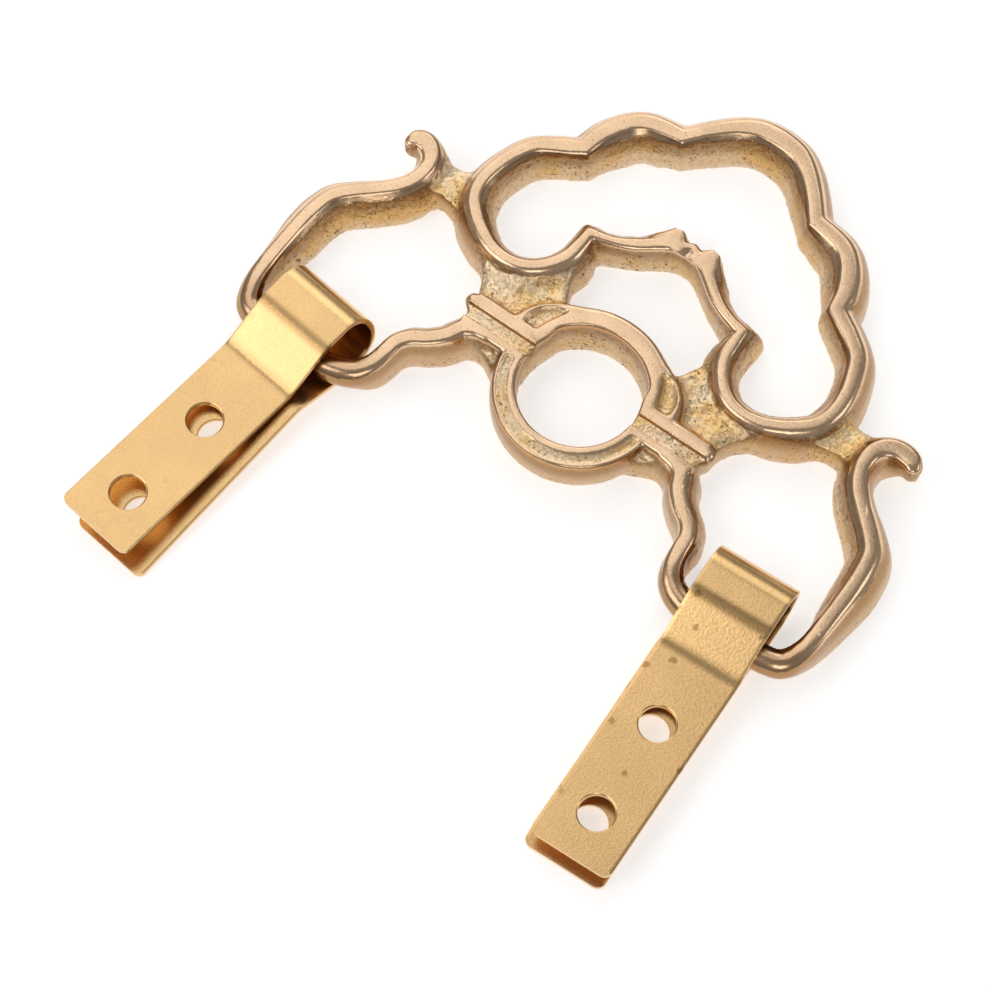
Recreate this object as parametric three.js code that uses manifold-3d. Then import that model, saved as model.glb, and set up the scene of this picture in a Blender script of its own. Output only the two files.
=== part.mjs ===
// A hinged picture hanger: one openwork brass casting and two folded sheet straps.
// Millimetres, +Z up. The casting lies on its flat back with the shell towards +Y, and a
// strap is threaded on the round bar at the foot of each side loop, towards -Y.

import * as THREE from 'three';
import { mergeVertices } from 'three/addons/utils/BufferGeometryUtils.js';
import Module from 'manifold-3d';

const wasm = await Module();
wasm.setup();

// Casting as a whole
const halfSpan = 27.5; // ring centre to the middle of a side loop's outer rib
const shellRise = 28.9; // ring centre to the middle of the rib at the shell's apex
const castHeight = 4.1; // flat back to the polished tops of the ribs

// Cross-section of a cast band, from its back upwards
const backRound = 0.2; // how far the back's edges draw in
const widestHeight = 0.4; // where the band is widest
const shoulderDrop = 0.96; // rib top down to the shoulder
const grooveDepth = 0.5; // rib top down to the line beside the rib
const grooveWidth = 0.1;
const ribEdge = 0.1; // broken edge of the rib's top

// Half-width of the ribs, and the body's margins beside them
const ribHalfWidest = 0.84; // at the shell's apex
const ribHalfLoop = 0.6;
const outerMargin = 1.25;
const openingMargin = 1.1;
const loopMargin = 1.2; // a side loop's body towards its own opening
const bandStep = 1.15; // length of one facet along the shell's band

// Round bar at the foot of each side loop
const barRadius = 1.2;
const barBelowRing = 10.2; // ring centre to the bar's middle

// Folded strap
const sheet = 0.5;
const strapWidth = 7.3;
const loopPlay = 1.0; // between the bar and the inside of the strap's loop
const loopRadius = barRadius + loopPlay + sheet; // outside of the loop
const loopTopLength = 2.15; // flat top from the loop's axis to the first crease
const neckLength = 4.6; // first crease to second, along the strap
const legLength = 18.95; // second crease to the free end
const legGapAtCrease = 0.35;
const legGapAtEnd = 2.0;
const creaseSoftness = 0.55; // how far each crease is rounded off to either side
const cornerRadius = 0.75;

// Screw holes in both legs
const holeRadius = 1.5;
const holeRim = 0.12; // bevel round a hole's mouth
const holeFromEnd = 4.05;
const holePitch = 8.75;

// The bar lies at the height of a strap's loop, less what the resting strap leans
const barDrop = 0.1;
const barHeight = loopRadius - barDrop; // back of the casting to the bar's middle

// Ring: a channel between two ridges round its lower half
const ringBoreRadius = 5.2;
const ringBackRadius = 5.0; // the bore narrows towards the back
const ridgeWidth = 0.64;
const ringChannelWidth = 0.64;
const ringChannelDepth = 0.4;
const ringMargin = 0.2;
const ringBackRound = 1.0; // how far the ring's outer edge rounds away at the back
const archMargin = 0.6;

// Arch: a broad ribbon round the ring's upper half
const archWidth = 2.1; // at its top
const archFlare = 1.0; // what the ribbon gains towards the collars
const archFlareShares = [0.33, 0.75]; // where the flare starts and ends, from the top to a foot
const archBoreRadius = 5.7; // the bore is wider under the arch, between the collars
const archBackRadius = 5.3;

// Collars between the ring and the side loops
const collarOuter = 11.6; // ring centre to a collar's outer end
const upperBarAbove = 1.6; // ring centre to the middle of the upper bar
const lowerBarBelow = 0.48;
const upperBarHalf = 0.56;
const lowerBarHalf = 0.48;
const collarMargin = 0.5;
const channelDepth = 0.5;

// Rough recess at each foot of the arch
const leafDepth = 0.5;

// Low rough webs, and the tooth beside the shell's notch
const webDrop = 0.95;
const toothRibHalf = 0.86;
const toothMargin = 1.0;

const overrun = 0.3; // how far every cutter runs past what it cuts
const uncutRadius = ringBackRadius - overrun; // where ring, arch and collars end before boring

// How each strap lies on its bar. Angles are in degrees. reachShare places it along the bar and
// neckGap is left between the bar and the drawn-in neck. foldDrift and endDrift are how far its
// back leg has slipped sideways at the fold and at the free end, and backExtra is how much
// further the back leg reaches.
const leftStrap = {
  name: 'left_strap',
  side: -1,
  reachShare: 0.797,
  yaw: 6.5,
  neckGap: 0.45,
  foldDrift: 0.9,
  endDrift: 1.4,
  backExtra: 0.15,
};
const rightStrap = {
  name: 'right_strap',
  side: 1,
  reachShare: 0.7735,
  yaw: -2.9,
  neckGap: 0.23,
  foldDrift: -0.25,
  endDrift: -0.35,
  backExtra: 0.5,
};

// Facets
const arcFacets = 36; // along half of the ring
const sharpestMitre = 0.5; // least share of its full width that a bend's mitre may draw in to
const holeFacets = 32;
const creaseFacets = 4;

// Middle line of the shell's band, right half, from the apex round to the notch over the ring.
// Each span runs between two pointed junctions. x is a share of halfSpan and y of shellRise;
// then come the shares of the widest rib, of the outer margin and of the opening's margin.
const shellShares = [
  [[0, 1, 1, 1, 1], [0.064, 0.992, 0.95, 1, 1], [0.122, 0.962, 0.84, 1, 1], [0.18, 0.911, 0.76, 1, 1],
    [0.246, 0.835, 0.74, 1, 0.6]],
  [[0.246, 0.835, 0.74, 1, 0.6], [0.295, 0.829, 0.84, 1, 1], [0.357, 0.815, 0.9, 1, 1.1],
    [0.397, 0.788, 0.9, 1, 1.2], [0.432, 0.742, 0.94, 1, 1.2], [0.453, 0.695, 0.9, 1, 1],
    [0.464, 0.637, 0.8, 1, 0.5]],
  [[0.464, 0.637, 0.8, 1, 0.5], [0.499, 0.616, 0.83, 1, 0.55], [0.543, 0.591, 0.8, 1, 0.6],
    [0.596, 0.551, 0.74, 1, 0.75], [0.63, 0.481, 0.7, 1, 0.85], [0.647, 0.416, 0.66, 1, 1],
    [0.648, 0.36, 0.66, 1, 1.2], [0.631, 0.312, 0.66, 1, 1.2], [0.59, 0.271, 0.66, 1, 1.1],
    [0.541, 0.239, 0.64, 0.9, 1], [0.493, 0.218, 0.6, 0.8, 1], [0.436, 0.211, 0.56, 0.8, 1],
    [0.385, 0.22, 0.58, 0.8, 1], [0.346, 0.242, 0.6, 0.9, 1], [0.31, 0.281, 0.63, 1, 0.9],
    [0.288, 0.325, 0.64, 1.1, 0.9], [0.283, 0.37, 0.6, 0.95, 0.9], [0.281, 0.421, 0.48, 0.5, 1.1]],
  [[0.281, 0.421, 0.48, 0.5, 1.1], [0.234, 0.431, 0.42, 0.4, 1], [0.189, 0.446, 0.46, 0.2, 1],
    [0.148, 0.468, 0.56, 0.2, 1], [0.075, 0.52, 0.62, 0.25, 0.9], [0, 0.557, 0.34, 0.4, 0.5]],
];

// Middle line of a side loop, from the tip of its finial round to the collar. x is a share of
// halfSpan; y is a share of shellRise above the ring's centre and of barBelowRing below it. The
// third number narrows the band and the fourth turns its section into the round bar; then come
// the shares of the outer margin and of the margin towards the loop's opening.
const loopShares = [
  [0.92, 0.36, 0.36, 0, 1, 1], [0.909, 0.372, 0.68, 0, 1, 1], [0.884, 0.381, 0.88, 0, 1, 1],
  [0.852, 0.376, 0.96, 0, 0.9, 1], [0.826, 0.356, 1, 0, 0.75, 1], [0.812, 0.329, 1, 0, 0.7, 1],
  [0.809, 0.298, 1, 0, 0.7, 1], [0.814, 0.266, 1, 0, 0.7, 1], [0.838, 0.221, 1, 0, 0.7, 1],
  [0.883, 0.174, 1, 0, 0.8, 1], [0.938, 0.127, 1, 0, 1, 1], [0.982, 0.078, 1, 0, 1.15, 1],
  [0.999, 0.014, 1, 0, 1.15, 1], [1.004, -0.11, 1, 0, 1.1, 1], [1.006, -0.35, 1, 0, 0.8, 0.8],
  [1.005, -0.58, 1, 0, 0.5, 0.35], [0.998, -0.77, 1, 0.4, 0.5, 0.2], [0.968, -0.935, 1, 1, 1, 1],
  [0.895, -0.99, 1, 1, 1, 1], [0.8, -1, 1, 1, 1, 1], [0.72, -1, 1, 1, 1, 1],
  [0.647, -0.99, 1, 1, 1, 1], [0.581, -0.915, 1, 0.8, 0.8, 0.4], [0.55, -0.8, 1, 0.25, 0.5, 0.3],
  [0.538, -0.66, 1, 0, 0.35, 0.4], [0.531, -0.53, 1, 0, 0.35, 0.6], [0.504, -0.43, 1, 0, 0.35, 0.9],
  [0.459, -0.345, 1, 0, 0.4, 1], [0.423, -0.24, 1, 0, 0.5, 1], [0.4, -0.12, 1, 0, 0.6, 1],
  [0.364, -0.058, 1, 0, 0.7, 1], [0.32, -0.04, 1, 0, 0.5, 1],
];

// Plans of the webs: between arch, collar and shell, behind the finial, and in the corner
// below the collar.
const middleWebShares = [
  [0.2, 0.19], [0.205, 0.215], [0.222, 0.25], [0.25, 0.3], [0.32, 0.27], [0.436, 0.22], [0.52, 0.235],
  [0.5, 0.175], [0.462, 0.133], [0.44, 0.09], [0.436, 0.04], [0.4, 0.028], [0.23, 0.028], [0.245, 0.16],
];
const finialWebShares = [
  [0.64, 0.41], [0.69, 0.388], [0.76, 0.378], [0.815, 0.39], [0.815, 0.25], [0.775, 0.268],
  [0.72, 0.274], [0.66, 0.258], [0.62, 0.3],
];
const cornerWebShares = [
  [0.2, -0.02], [0.37, -0.03], [0.345, -0.055], [0.3, -0.066], [0.266, -0.088], [0.2, -0.1],
];

// Tooth beside the notch, from its foot to its tip, with its width.
const toothShares = [[0.052, 0.528, 0.95], [0.059, 0.556, 1], [0.063, 0.571, 0.82], [0.065, 0.579, 0.55]];

// Recess at the arch's foot: its point, outer foot and inner foot, and the middle of each side.
const leafShares = {
  point: [0.172, 0.175],
  outerBend: [0.254, 0.15],
  outerFoot: [0.262, 0.082],
  innerFoot: [0.218, 0.082],
  innerBend: [0.2, 0.135],
};

const castBrass = { color: 0xc9a27e, roughness: 0.34, metalness: 1 };
const sheetBrass = { color: 0xe0b06a, roughness: 0.3, metalness: 1 };

const { lerp, smoothstep, clamp, degToRad } = THREE.MathUtils;

function toSolid(geometry) {
  const bare = geometry.clone();
  bare.deleteAttribute('normal');
  bare.deleteAttribute('uv');
  const merged = mergeVertices(bare);
  const mesh = new wasm.Mesh({
    numProp: 3,
    vertProperties: new Float32Array(merged.attributes.position.array),
    triVerts: new Uint32Array(merged.index.array),
  });
  return new wasm.Manifold(mesh);
}

function toGeometry(solid) {
  const mesh = solid.getMesh();
  const geometry = new THREE.BufferGeometry();
  geometry.setAttribute('position', new THREE.BufferAttribute(new Float32Array(mesh.vertProperties), 3));
  geometry.setIndex(new THREE.BufferAttribute(new Uint32Array(mesh.triVerts), 1));
  geometry.computeVertexNormals();
  return geometry;
}

function joinAll(solids) {
  return solids.reduce((whole, piece) => whole.add(piece));
}

// A share of the casting's plan as a real point, on the side asked for.
function planPoint([x, y], side = 1) {
  return new THREE.Vector2(side * x * halfSpan, y * shellRise);
}

// Sections of equal point count become one closed skin; open runs get flat end caps.
function skin(sections, closed) {
  const count = sections[0].length;
  const positions = sections.flat().flatMap((p) => [p.x, p.y, p.z]);
  const index = [];
  const spans = closed ? sections.length : sections.length - 1;
  for (let i = 0; i < spans; i += 1) {
    const a = i * count;
    const b = ((i + 1) % sections.length) * count;
    for (let j = 0; j < count; j += 1) {
      const k = (j + 1) % count;
      index.push(a + j, b + k, b + j, a + j, a + k, b + k);
    }
  }
  if (!closed) {
    const last = (sections.length - 1) * count;
    for (let j = 1; j < count - 1; j += 1) {
      index.push(0, j + 1, j);
      index.push(last, last + j, last + j + 1);
    }
  }
  const geometry = new THREE.BufferGeometry();
  geometry.setAttribute('position', new THREE.Float32BufferAttribute(positions, 3));
  geometry.setIndex(index);
  return geometry;
}

// One side of a band's section, from the back up to the rib's top.
function sideOfSection(ribHalf, margin) {
  return [
    [ribHalf + margin - backRound, 0],
    [ribHalf + margin, widestHeight],
    [ribHalf + margin / 2, castHeight - shoulderDrop],
    [ribHalf + grooveWidth, castHeight - grooveDepth],
    [ribHalf, castHeight - ribEdge],
    [Math.max(ribHalf - ribEdge, ribHalf / 2), castHeight],
  ];
}

// Whole section of a band, up its left side and down its right, blended towards the round bar.
function bandSection({ ribHalf, left, right, narrow = 1, bar = 0 }) {
  const leftSide = sideOfSection(ribHalf, left);
  const rightSide = sideOfSection(ribHalf, right).map(([s, z]) => [-s, z]);
  const outline = [...leftSide, ...rightSide.reverse()];
  return outline.map(([s, z], i) => {
    const angle = ((i + 0.5) / outline.length) * Math.PI * 2 - Math.PI / 2;
    const roundS = barRadius * Math.cos(angle);
    const roundZ = barHeight + barRadius * Math.sin(angle);
    return [lerp(s, roundS, bar) * narrow, lerp(z, roundZ, bar)];
  });
}

// The section of one path point, set in the plane that halves the bend there.
function placeSection(before, at, after) {
  const into = new THREE.Vector2(at.x - before.x, at.y - before.y).normalize();
  const out = new THREE.Vector2(after.x - at.x, after.y - at.y).normalize();
  const along = into.clone().add(out).normalize();
  const reach = 1 / Math.max(along.dot(out), sharpestMitre);
  return bandSection(at).map(([s, z]) => new THREE.Vector3(
    at.x - along.y * s * reach,
    at.y + along.x * s * reach,
    z,
  ));
}

function openBand(points) {
  const sections = points.map((at, i) => {
    const before = points[i - 1];
    const after = points[i + 1];
    const behind = before ?? { x: 2 * at.x - after.x, y: 2 * at.y - after.y };
    const ahead = after ?? { x: 2 * at.x - before.x, y: 2 * at.y - before.y };
    return placeSection(behind, at, ahead);
  });
  return toSolid(skin(sections, false));
}

function closedBand(points) {
  const count = points.length;
  const sections = points.map((at, i) => placeSection(
    points[(i + count - 1) % count],
    at,
    points[(i + 1) % count],
  ));
  return toSolid(skin(sections, true));
}

// The rows of a table blended at a place between its first row (0) and its last (1).
function rowAt(rows, t) {
  const place = clamp(t, 0, 1) * (rows.length - 1);
  const low = rows[Math.floor(place)];
  const high = rows[Math.ceil(place)];
  return low.map((value, i) => lerp(value, high[i], place - Math.floor(place)));
}

function smoothLine(rows) {
  const corners = rows.map(([x, y]) => {
    const reach = y < 0 ? barBelowRing : shellRise;
    return new THREE.Vector3(x * halfSpan, y * reach, 0);
  });
  return new THREE.CatmullRomCurve3(corners, false, 'centripetal');
}

// Even steps on a smooth curve through one span, each with the band's own widths there.
function smoothSpan(span) {
  const curve = smoothLine(span);
  const steps = Math.round(curve.getLength() / bandStep);
  const points = [];
  for (let i = 0; i <= steps; i += 1) {
    const t = curve.getUtoTmapping(i / steps);
    const { x, y } = curve.getPoint(t);
    const [, , rib, outer, opening] = rowAt(span, t);
    const margins = { left: outerMargin * outer, right: openingMargin * opening };
    points.push({ x, y, ribHalf: ribHalfWidest * rib, ...margins });
  }
  return points;
}

function shellBand() {
  const right = shellShares.flatMap((span, i) => smoothSpan(span).slice(i === 0 ? 0 : 1));
  const left = right.slice(1, -1).map((p) => ({ ...p, x: -p.x })).reverse();
  return closedBand([...right, ...left]);
}

function tooth(side) {
  return openBand(toothShares.map(([x, y, narrow]) => {
    const at = planPoint([x, y], side);
    return { x: at.x, y: at.y, ribHalf: toothRibHalf, left: toothMargin, right: toothMargin, narrow };
  }));
}

function sideLoop(side) {
  const curve = smoothLine(loopShares);
  const steps = (loopShares.length - 1) * 2;
  const points = [];
  for (let i = 0; i <= steps; i += 1) {
    const { x, y } = curve.getPoint(i / steps);
    const [, , narrow, bar, outer, opening] = rowAt(loopShares, i / steps);
    const margins = [outerMargin * outer, loopMargin * opening];
    const [left, right] = side > 0 ? margins : margins.reverse();
    points.push({ x: side * x, y, ribHalf: ribHalfLoop, left, right, narrow, bar });
  }
  return openBand(points);
}

// Section of the ring's lower half as radius and height: ridge, channel, ridge, outer wall.
function ringSection() {
  const ridge = ringBoreRadius + ridgeWidth;
  const channel = ridge + ringChannelWidth;
  const outer = channel + ridgeWidth;
  const floor = castHeight - ringChannelDepth;
  return [
    [uncutRadius, 0],
    [uncutRadius, castHeight],
    [ridge, castHeight],
    [ridge + ribEdge, floor],
    [channel - ribEdge, floor],
    [channel, castHeight],
    [outer - ribEdge, castHeight],
    [outer, castHeight - grooveDepth],
    [outer + ringMargin, castHeight - shoulderDrop],
    [outer + ringMargin, ringBackRound],
    [outer + ringMargin - ringBackRound, 0],
  ];
}

// Section of the arch. The flare is the share of its full broadening.
function archSection(flare) {
  const outer = ringBoreRadius + archWidth + archFlare * flare;
  return [
    [uncutRadius, 0],
    [uncutRadius, castHeight],
    [outer - ribEdge, castHeight],
    [outer, castHeight - grooveDepth],
    [outer + archMargin / 2, castHeight - shoulderDrop],
    [outer + archMargin, widestHeight],
    [outer + archMargin - backRound, 0],
  ];
}

// A section turned about the ring's axis, from one angle to another.
function turned(sectionAt, from, to) {
  const sections = [];
  for (let i = 0; i <= arcFacets; i += 1) {
    const angle = degToRad(lerp(from, to, i / arcFacets));
    const place = ([r, z]) => new THREE.Vector3(r * Math.cos(angle), r * Math.sin(angle), z);
    sections.push(sectionAt(i / arcFacets).map(place));
  }
  return toSolid(skin(sections, false));
}

function ringAndArch() {
  const pastCentre = 1; // degrees that each half runs on into the other
  const flareAt = (t) => smoothstep(Math.abs(2 * t - 1), ...archFlareShares);
  const lower = turned(ringSection, -180 - pastCentre, pastCentre);
  const arch = turned((t) => archSection(flareAt(t)), -pastCentre, 180 + pastCentre);
  return lower.add(arch);
}

// Straight-sided plate of a plan outline, standing on the casting's back.
function plate(outline, top) {
  const shape = new THREE.Shape(outline);
  return toSolid(new THREE.ExtrudeGeometry(shape, { depth: top, bevelEnabled: false, steps: 1 }));
}

function web(shares, side) {
  const outline = shares.map((share) => planPoint(share, side));
  return plate(outline, castHeight - webDrop);
}

function collarBar(side, y, ribHalf) {
  const ends = [uncutRadius, collarOuter].map((x) => side * x);
  return openBand(ends.map((x) => ({ x, y, ribHalf, left: collarMargin, right: collarMargin })));
}

function collar(side) {
  const upper = collarBar(side, upperBarAbove, upperBarHalf);
  const lower = collarBar(side, -lowerBarBelow, lowerBarHalf);
  const between = new THREE.BoxGeometry(
    collarOuter - uncutRadius,
    upperBarAbove + lowerBarBelow,
    castHeight - channelDepth,
  );
  between.translate(
    (side * (collarOuter + uncutRadius)) / 2,
    (upperBarAbove - lowerBarBelow) / 2,
    (castHeight - channelDepth) / 2,
  );
  return joinAll([upper, lower, toSolid(between)]);
}

// The collar's channel, open at both ends.
function channelPocket(side) {
  const low = lowerBarHalf - lowerBarBelow;
  const high = upperBarAbove - upperBarHalf;
  const length = collarOuter - uncutRadius + 2 * overrun;
  const geometry = new THREE.BoxGeometry(length, high - low, channelDepth + overrun);
  geometry.translate(
    (side * (collarOuter + uncutRadius)) / 2,
    (high + low) / 2,
    castHeight - (channelDepth - overrun) / 2,
  );
  return toSolid(geometry);
}

function leafPocket(side) {
  const at = (name) => planPoint(leafShares[name], side);
  const point = at('point');
  const outerBend = at('outerBend');
  const outerFoot = at('outerFoot');
  const innerFoot = at('innerFoot');
  const innerBend = at('innerBend');
  const shape = new THREE.Shape();
  shape.moveTo(point.x, point.y);
  shape.quadraticCurveTo(outerBend.x, outerBend.y, outerFoot.x, outerFoot.y);
  shape.lineTo(innerFoot.x, innerFoot.y);
  shape.quadraticCurveTo(innerBend.x, innerBend.y, point.x, point.y);
  const depth = leafDepth + overrun;
  const geometry = new THREE.ExtrudeGeometry(shape, {
    depth, bevelEnabled: false, steps: 1, curveSegments: 8,
  });
  geometry.translate(0, 0, castHeight - leafDepth);
  return toSolid(geometry);
}

// A bore that narrows towards the back, with a broken edge at its mouth.
function boreCutter(backRadius, frontRadius) {
  const profile = [
    new THREE.Vector2(0, -overrun),
    new THREE.Vector2(backRadius, -overrun),
    new THREE.Vector2(backRadius, 0),
    new THREE.Vector2(frontRadius, castHeight - ribEdge),
    new THREE.Vector2(frontRadius + ribEdge, castHeight),
    new THREE.Vector2(frontRadius + ribEdge + overrun, castHeight + overrun),
    new THREE.Vector2(0, castHeight + overrun),
  ];
  const geometry = new THREE.LatheGeometry(profile, arcFacets * 2);
  geometry.rotateX(Math.PI / 2);
  return toSolid(geometry);
}

// The ring's bore and, above the collars' upper bars, the wider one under the arch.
function ringBore() {
  const reach = 4 * archBoreRadius;
  const aboveCollars = new THREE.BoxGeometry(reach, reach, reach);
  aboveCollars.translate(0, upperBarAbove + upperBarHalf + reach / 2, 0);
  const underArch = boreCutter(archBackRadius, archBoreRadius).intersect(toSolid(aboveCollars));
  return boreCutter(ringBackRadius, ringBoreRadius).add(underArch);
}

function casting() {
  const sides = [-1, 1];
  const solids = [shellBand(), ringAndArch()];
  sides.forEach((side) => {
    solids.push(tooth(side), sideLoop(side), collar(side));
    solids.push(web(middleWebShares, side), web(finialWebShares, side), web(cornerWebShares, side));
  });
  const pockets = joinAll([...sides.map(leafPocket), ...sides.map(channelPocket)]);
  return joinAll(solids).subtract(ringBore()).subtract(pockets);
}

// Where a rounded-off corner starts or ends: a set distance from it towards another point.
function shortOf(corner, other) {
  return other.clone().sub(corner).setLength(creaseSoftness).add(corner);
}

// Middle line of the folded strip, side on. x runs from the loop's axis towards the free
// ends, y across the fold. It starts at the free end of the front leg and rounds the loop.
function stripLine(backExtra) {
  const radius = loopRadius - sheet / 2;
  const legX = loopTopLength + neckLength;
  const end = new THREE.Vector2(legX + legLength, (legGapAtEnd + sheet) / 2);
  const second = new THREE.Vector2(legX, (legGapAtCrease + sheet) / 2);
  const first = new THREE.Vector2(loopTopLength, radius);
  const top = new THREE.Vector2(0, radius);
  const path = new THREE.Path();
  path.moveTo(end.x, end.y);
  [[end, second, first], [second, first, top]].forEach(([from, corner, to]) => {
    const start = shortOf(corner, from);
    const finish = shortOf(corner, to);
    path.lineTo(start.x, start.y);
    path.quadraticCurveTo(corner.x, corner.y, finish.x, finish.y);
  });
  const front = path.getPoints(creaseFacets);
  const back = front.map((p) => new THREE.Vector2(p.x, -p.y)).reverse();
  back[back.length - 1].x += backExtra;
  const loop = new THREE.Path().absarc(0, 0, radius, Math.PI / 2, -Math.PI / 2, false);
  const round = loop.getPoints(creaseFacets * 2).map((p) => new THREE.Vector2(-Math.abs(p.x), p.y));
  return [...front, ...round, ...back];
}

// How far the strip has slipped sideways at a place on the back leg.
function backDrift(spec, x) {
  return lerp(spec.foldDrift, spec.endDrift, x / (loopTopLength + neckLength + legLength));
}

// The same anywhere on the strip: nothing in front, growing round the loop, then the back leg's.
function driftAt(spec, at) {
  if (at.x > 0) return at.y > 0 ? 0 : backDrift(spec, at.x);
  const radius = loopRadius - sheet / 2;
  return spec.foldDrift * smoothstep(-at.y, -radius, radius);
}

// The strip itself: the middle line given the sheet's thickness and the strap's width.
function strip(spec) {
  const line = stripLine(spec.backExtra);
  const half = strapWidth / 2;
  const sections = line.map((at, i) => {
    const before = line[i - 1] ?? at;
    const after = line[i + 1] ?? at;
    const along = after.clone().sub(before).normalize();
    const dx = (-along.y * sheet) / 2;
    const dy = (along.x * sheet) / 2;
    const shift = driftAt(spec, at);
    return [
      new THREE.Vector3(shift - half, -at.x + dx, at.y - dy),
      new THREE.Vector3(shift + half, -at.x + dx, at.y - dy),
      new THREE.Vector3(shift + half, -at.x - dx, at.y + dy),
      new THREE.Vector3(shift - half, -at.x - dx, at.y + dy),
    ];
  });
  return toSolid(skin(sections, false));
}

// Cutter for one screw hole with its bevelled mouth, drawn about its axis.
function holeCutter() {
  const mouth = sheet / 2 + overrun;
  const profile = [
    new THREE.Vector2(0, -mouth),
    new THREE.Vector2(holeRadius, -mouth),
    new THREE.Vector2(holeRadius, sheet / 2 - holeRim),
    new THREE.Vector2(holeRadius + holeRim + overrun, mouth),
    new THREE.Vector2(0, mouth),
  ];
  const geometry = new THREE.LatheGeometry(profile, holeFacets);
  geometry.rotateX(Math.PI / 2);
  return geometry;
}

// Everything outside one rounded corner of a free end.
function cornerCutter(side, endX) {
  const half = strapWidth / 2;
  const inset = half - cornerRadius;
  const shape = new THREE.Shape();
  shape.moveTo(side * inset, -endX);
  const sideAngle = side > 0 ? 0 : -Math.PI;
  shape.absarc(side * inset, cornerRadius - endX, cornerRadius, -Math.PI / 2, sideAngle, side < 0);
  shape.lineTo(side * (half + overrun), cornerRadius - endX);
  shape.lineTo(side * (half + overrun), -endX - overrun);
  shape.lineTo(side * inset, -endX - overrun);
  const depth = legGapAtEnd + sheet;
  return new THREE.ExtrudeGeometry(shape, { depth, bevelEnabled: false, steps: 1, curveSegments: 6 });
}

// Cutters for the front leg (face 1) or the back leg (face -1).
function legCutters(spec, face) {
  const extra = face > 0 ? 0 : spec.backExtra;
  const endX = loopTopLength + neckLength + legLength + extra;
  const shiftAt = (x) => (face > 0 ? 0 : backDrift(spec, x));
  const atEnd = (legGapAtEnd + sheet) / 2;
  const slope = Math.atan2((legGapAtEnd - legGapAtCrease) / 2, legLength + extra);
  const holes = [0, 1].map((i) => {
    const fromEnd = holeFromEnd + i * holePitch;
    const geometry = holeCutter();
    if (face < 0) geometry.rotateX(Math.PI);
    geometry.rotateX(-face * slope);
    geometry.translate(shiftAt(endX - fromEnd), fromEnd - endX, face * (atEnd - fromEnd * Math.tan(slope)));
    return toSolid(geometry);
  });
  const corners = [-1, 1].map((side) => {
    const geometry = cornerCutter(side, endX);
    geometry.translate(shiftAt(endX), 0, face > 0 ? 0 : -legGapAtEnd - sheet);
    return toSolid(geometry);
  });
  return joinAll([...holes, ...corners]);
}

// The lean at which the loop's back and the back leg's free end touch the ground together.
function restingLean(spec) {
  const reach = neckLength + legLength + spec.backExtra;
  return Math.atan2(loopRadius - legGapAtEnd / 2 - sheet, reach);
}

// How far the bar's middle lies from the loop's axis, where the neck stops it.
function barFromLoop(spec) {
  const radius = loopRadius - sheet / 2;
  const fall = (radius - (legGapAtCrease + sheet) / 2) / neckLength;
  const clear = barRadius + spec.neckGap + sheet / 2;
  return loopTopLength + (radius - clear * Math.hypot(1, fall)) / fall;
}

function strap(spec) {
  const solid = strip(spec).subtract(legCutters(spec, 1)).subtract(legCutters(spec, -1));
  const mesh = new THREE.Mesh(toGeometry(solid), new THREE.MeshStandardMaterial(sheetBrass));
  mesh.name = spec.name;
  const lean = restingLean(spec);
  const turn = degToRad(-spec.yaw);
  const toBar = barFromLoop(spec) * Math.cos(lean);
  const x = spec.side * spec.reachShare * halfSpan - toBar * Math.sin(turn);
  const y = toBar * Math.cos(turn) - barBelowRing;
  mesh.rotation.set(lean, 0, turn, 'ZYX');
  const lowest = new THREE.Box3().setFromObject(mesh, true).min.z;
  mesh.position.set(x, y, -lowest);
  return mesh;
}

const hanger = new THREE.Group();
const body = new THREE.Mesh(toGeometry(casting()), new THREE.MeshStandardMaterial(castBrass));
body.name = 'hanger_casting';
hanger.add(body, strap(leftStrap), strap(rightStrap));

// Set the middle of the whole on the Z axis.
const bounds = new THREE.Box3().setFromObject(hanger, true);
const middle = bounds.getCenter(new THREE.Vector3());
hanger.position.set(-middle.x, -middle.y, 0);

export default hanger;
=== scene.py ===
"""A hinged picture hanger in brass: an openwork casting and two folded sheet straps.

Sizes in the tables below are millimetres or shares; meshes are set to metres at the end.
"""

import math

import bmesh
import bpy
import numpy as np
from mathutils import Matrix, Vector, kdtree, noise


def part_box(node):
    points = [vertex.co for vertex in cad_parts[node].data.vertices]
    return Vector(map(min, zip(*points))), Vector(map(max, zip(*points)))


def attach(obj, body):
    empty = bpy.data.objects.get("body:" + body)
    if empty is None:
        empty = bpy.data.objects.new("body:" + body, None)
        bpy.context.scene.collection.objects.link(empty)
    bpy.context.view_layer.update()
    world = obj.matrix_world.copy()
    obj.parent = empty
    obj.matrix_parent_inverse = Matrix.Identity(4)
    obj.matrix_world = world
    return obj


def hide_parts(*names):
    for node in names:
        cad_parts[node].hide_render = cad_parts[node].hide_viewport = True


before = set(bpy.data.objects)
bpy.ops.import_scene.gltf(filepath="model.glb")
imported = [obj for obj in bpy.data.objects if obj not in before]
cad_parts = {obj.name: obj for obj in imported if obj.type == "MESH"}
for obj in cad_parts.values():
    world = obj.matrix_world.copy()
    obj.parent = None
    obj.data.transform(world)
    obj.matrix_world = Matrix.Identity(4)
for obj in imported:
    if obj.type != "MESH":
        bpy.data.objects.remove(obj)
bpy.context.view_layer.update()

bl_info = {
    "name": "Hinged Picture Hanger",
    "version": (1, 0, 0),
    "blender": (4, 5, 0),
    "location": "View3D > Sidebar > Hanger",
    "description": "Builds a cast brass picture hanger with two folded straps",
    "category": "Add Mesh",
}

MM = 0.001

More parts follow.
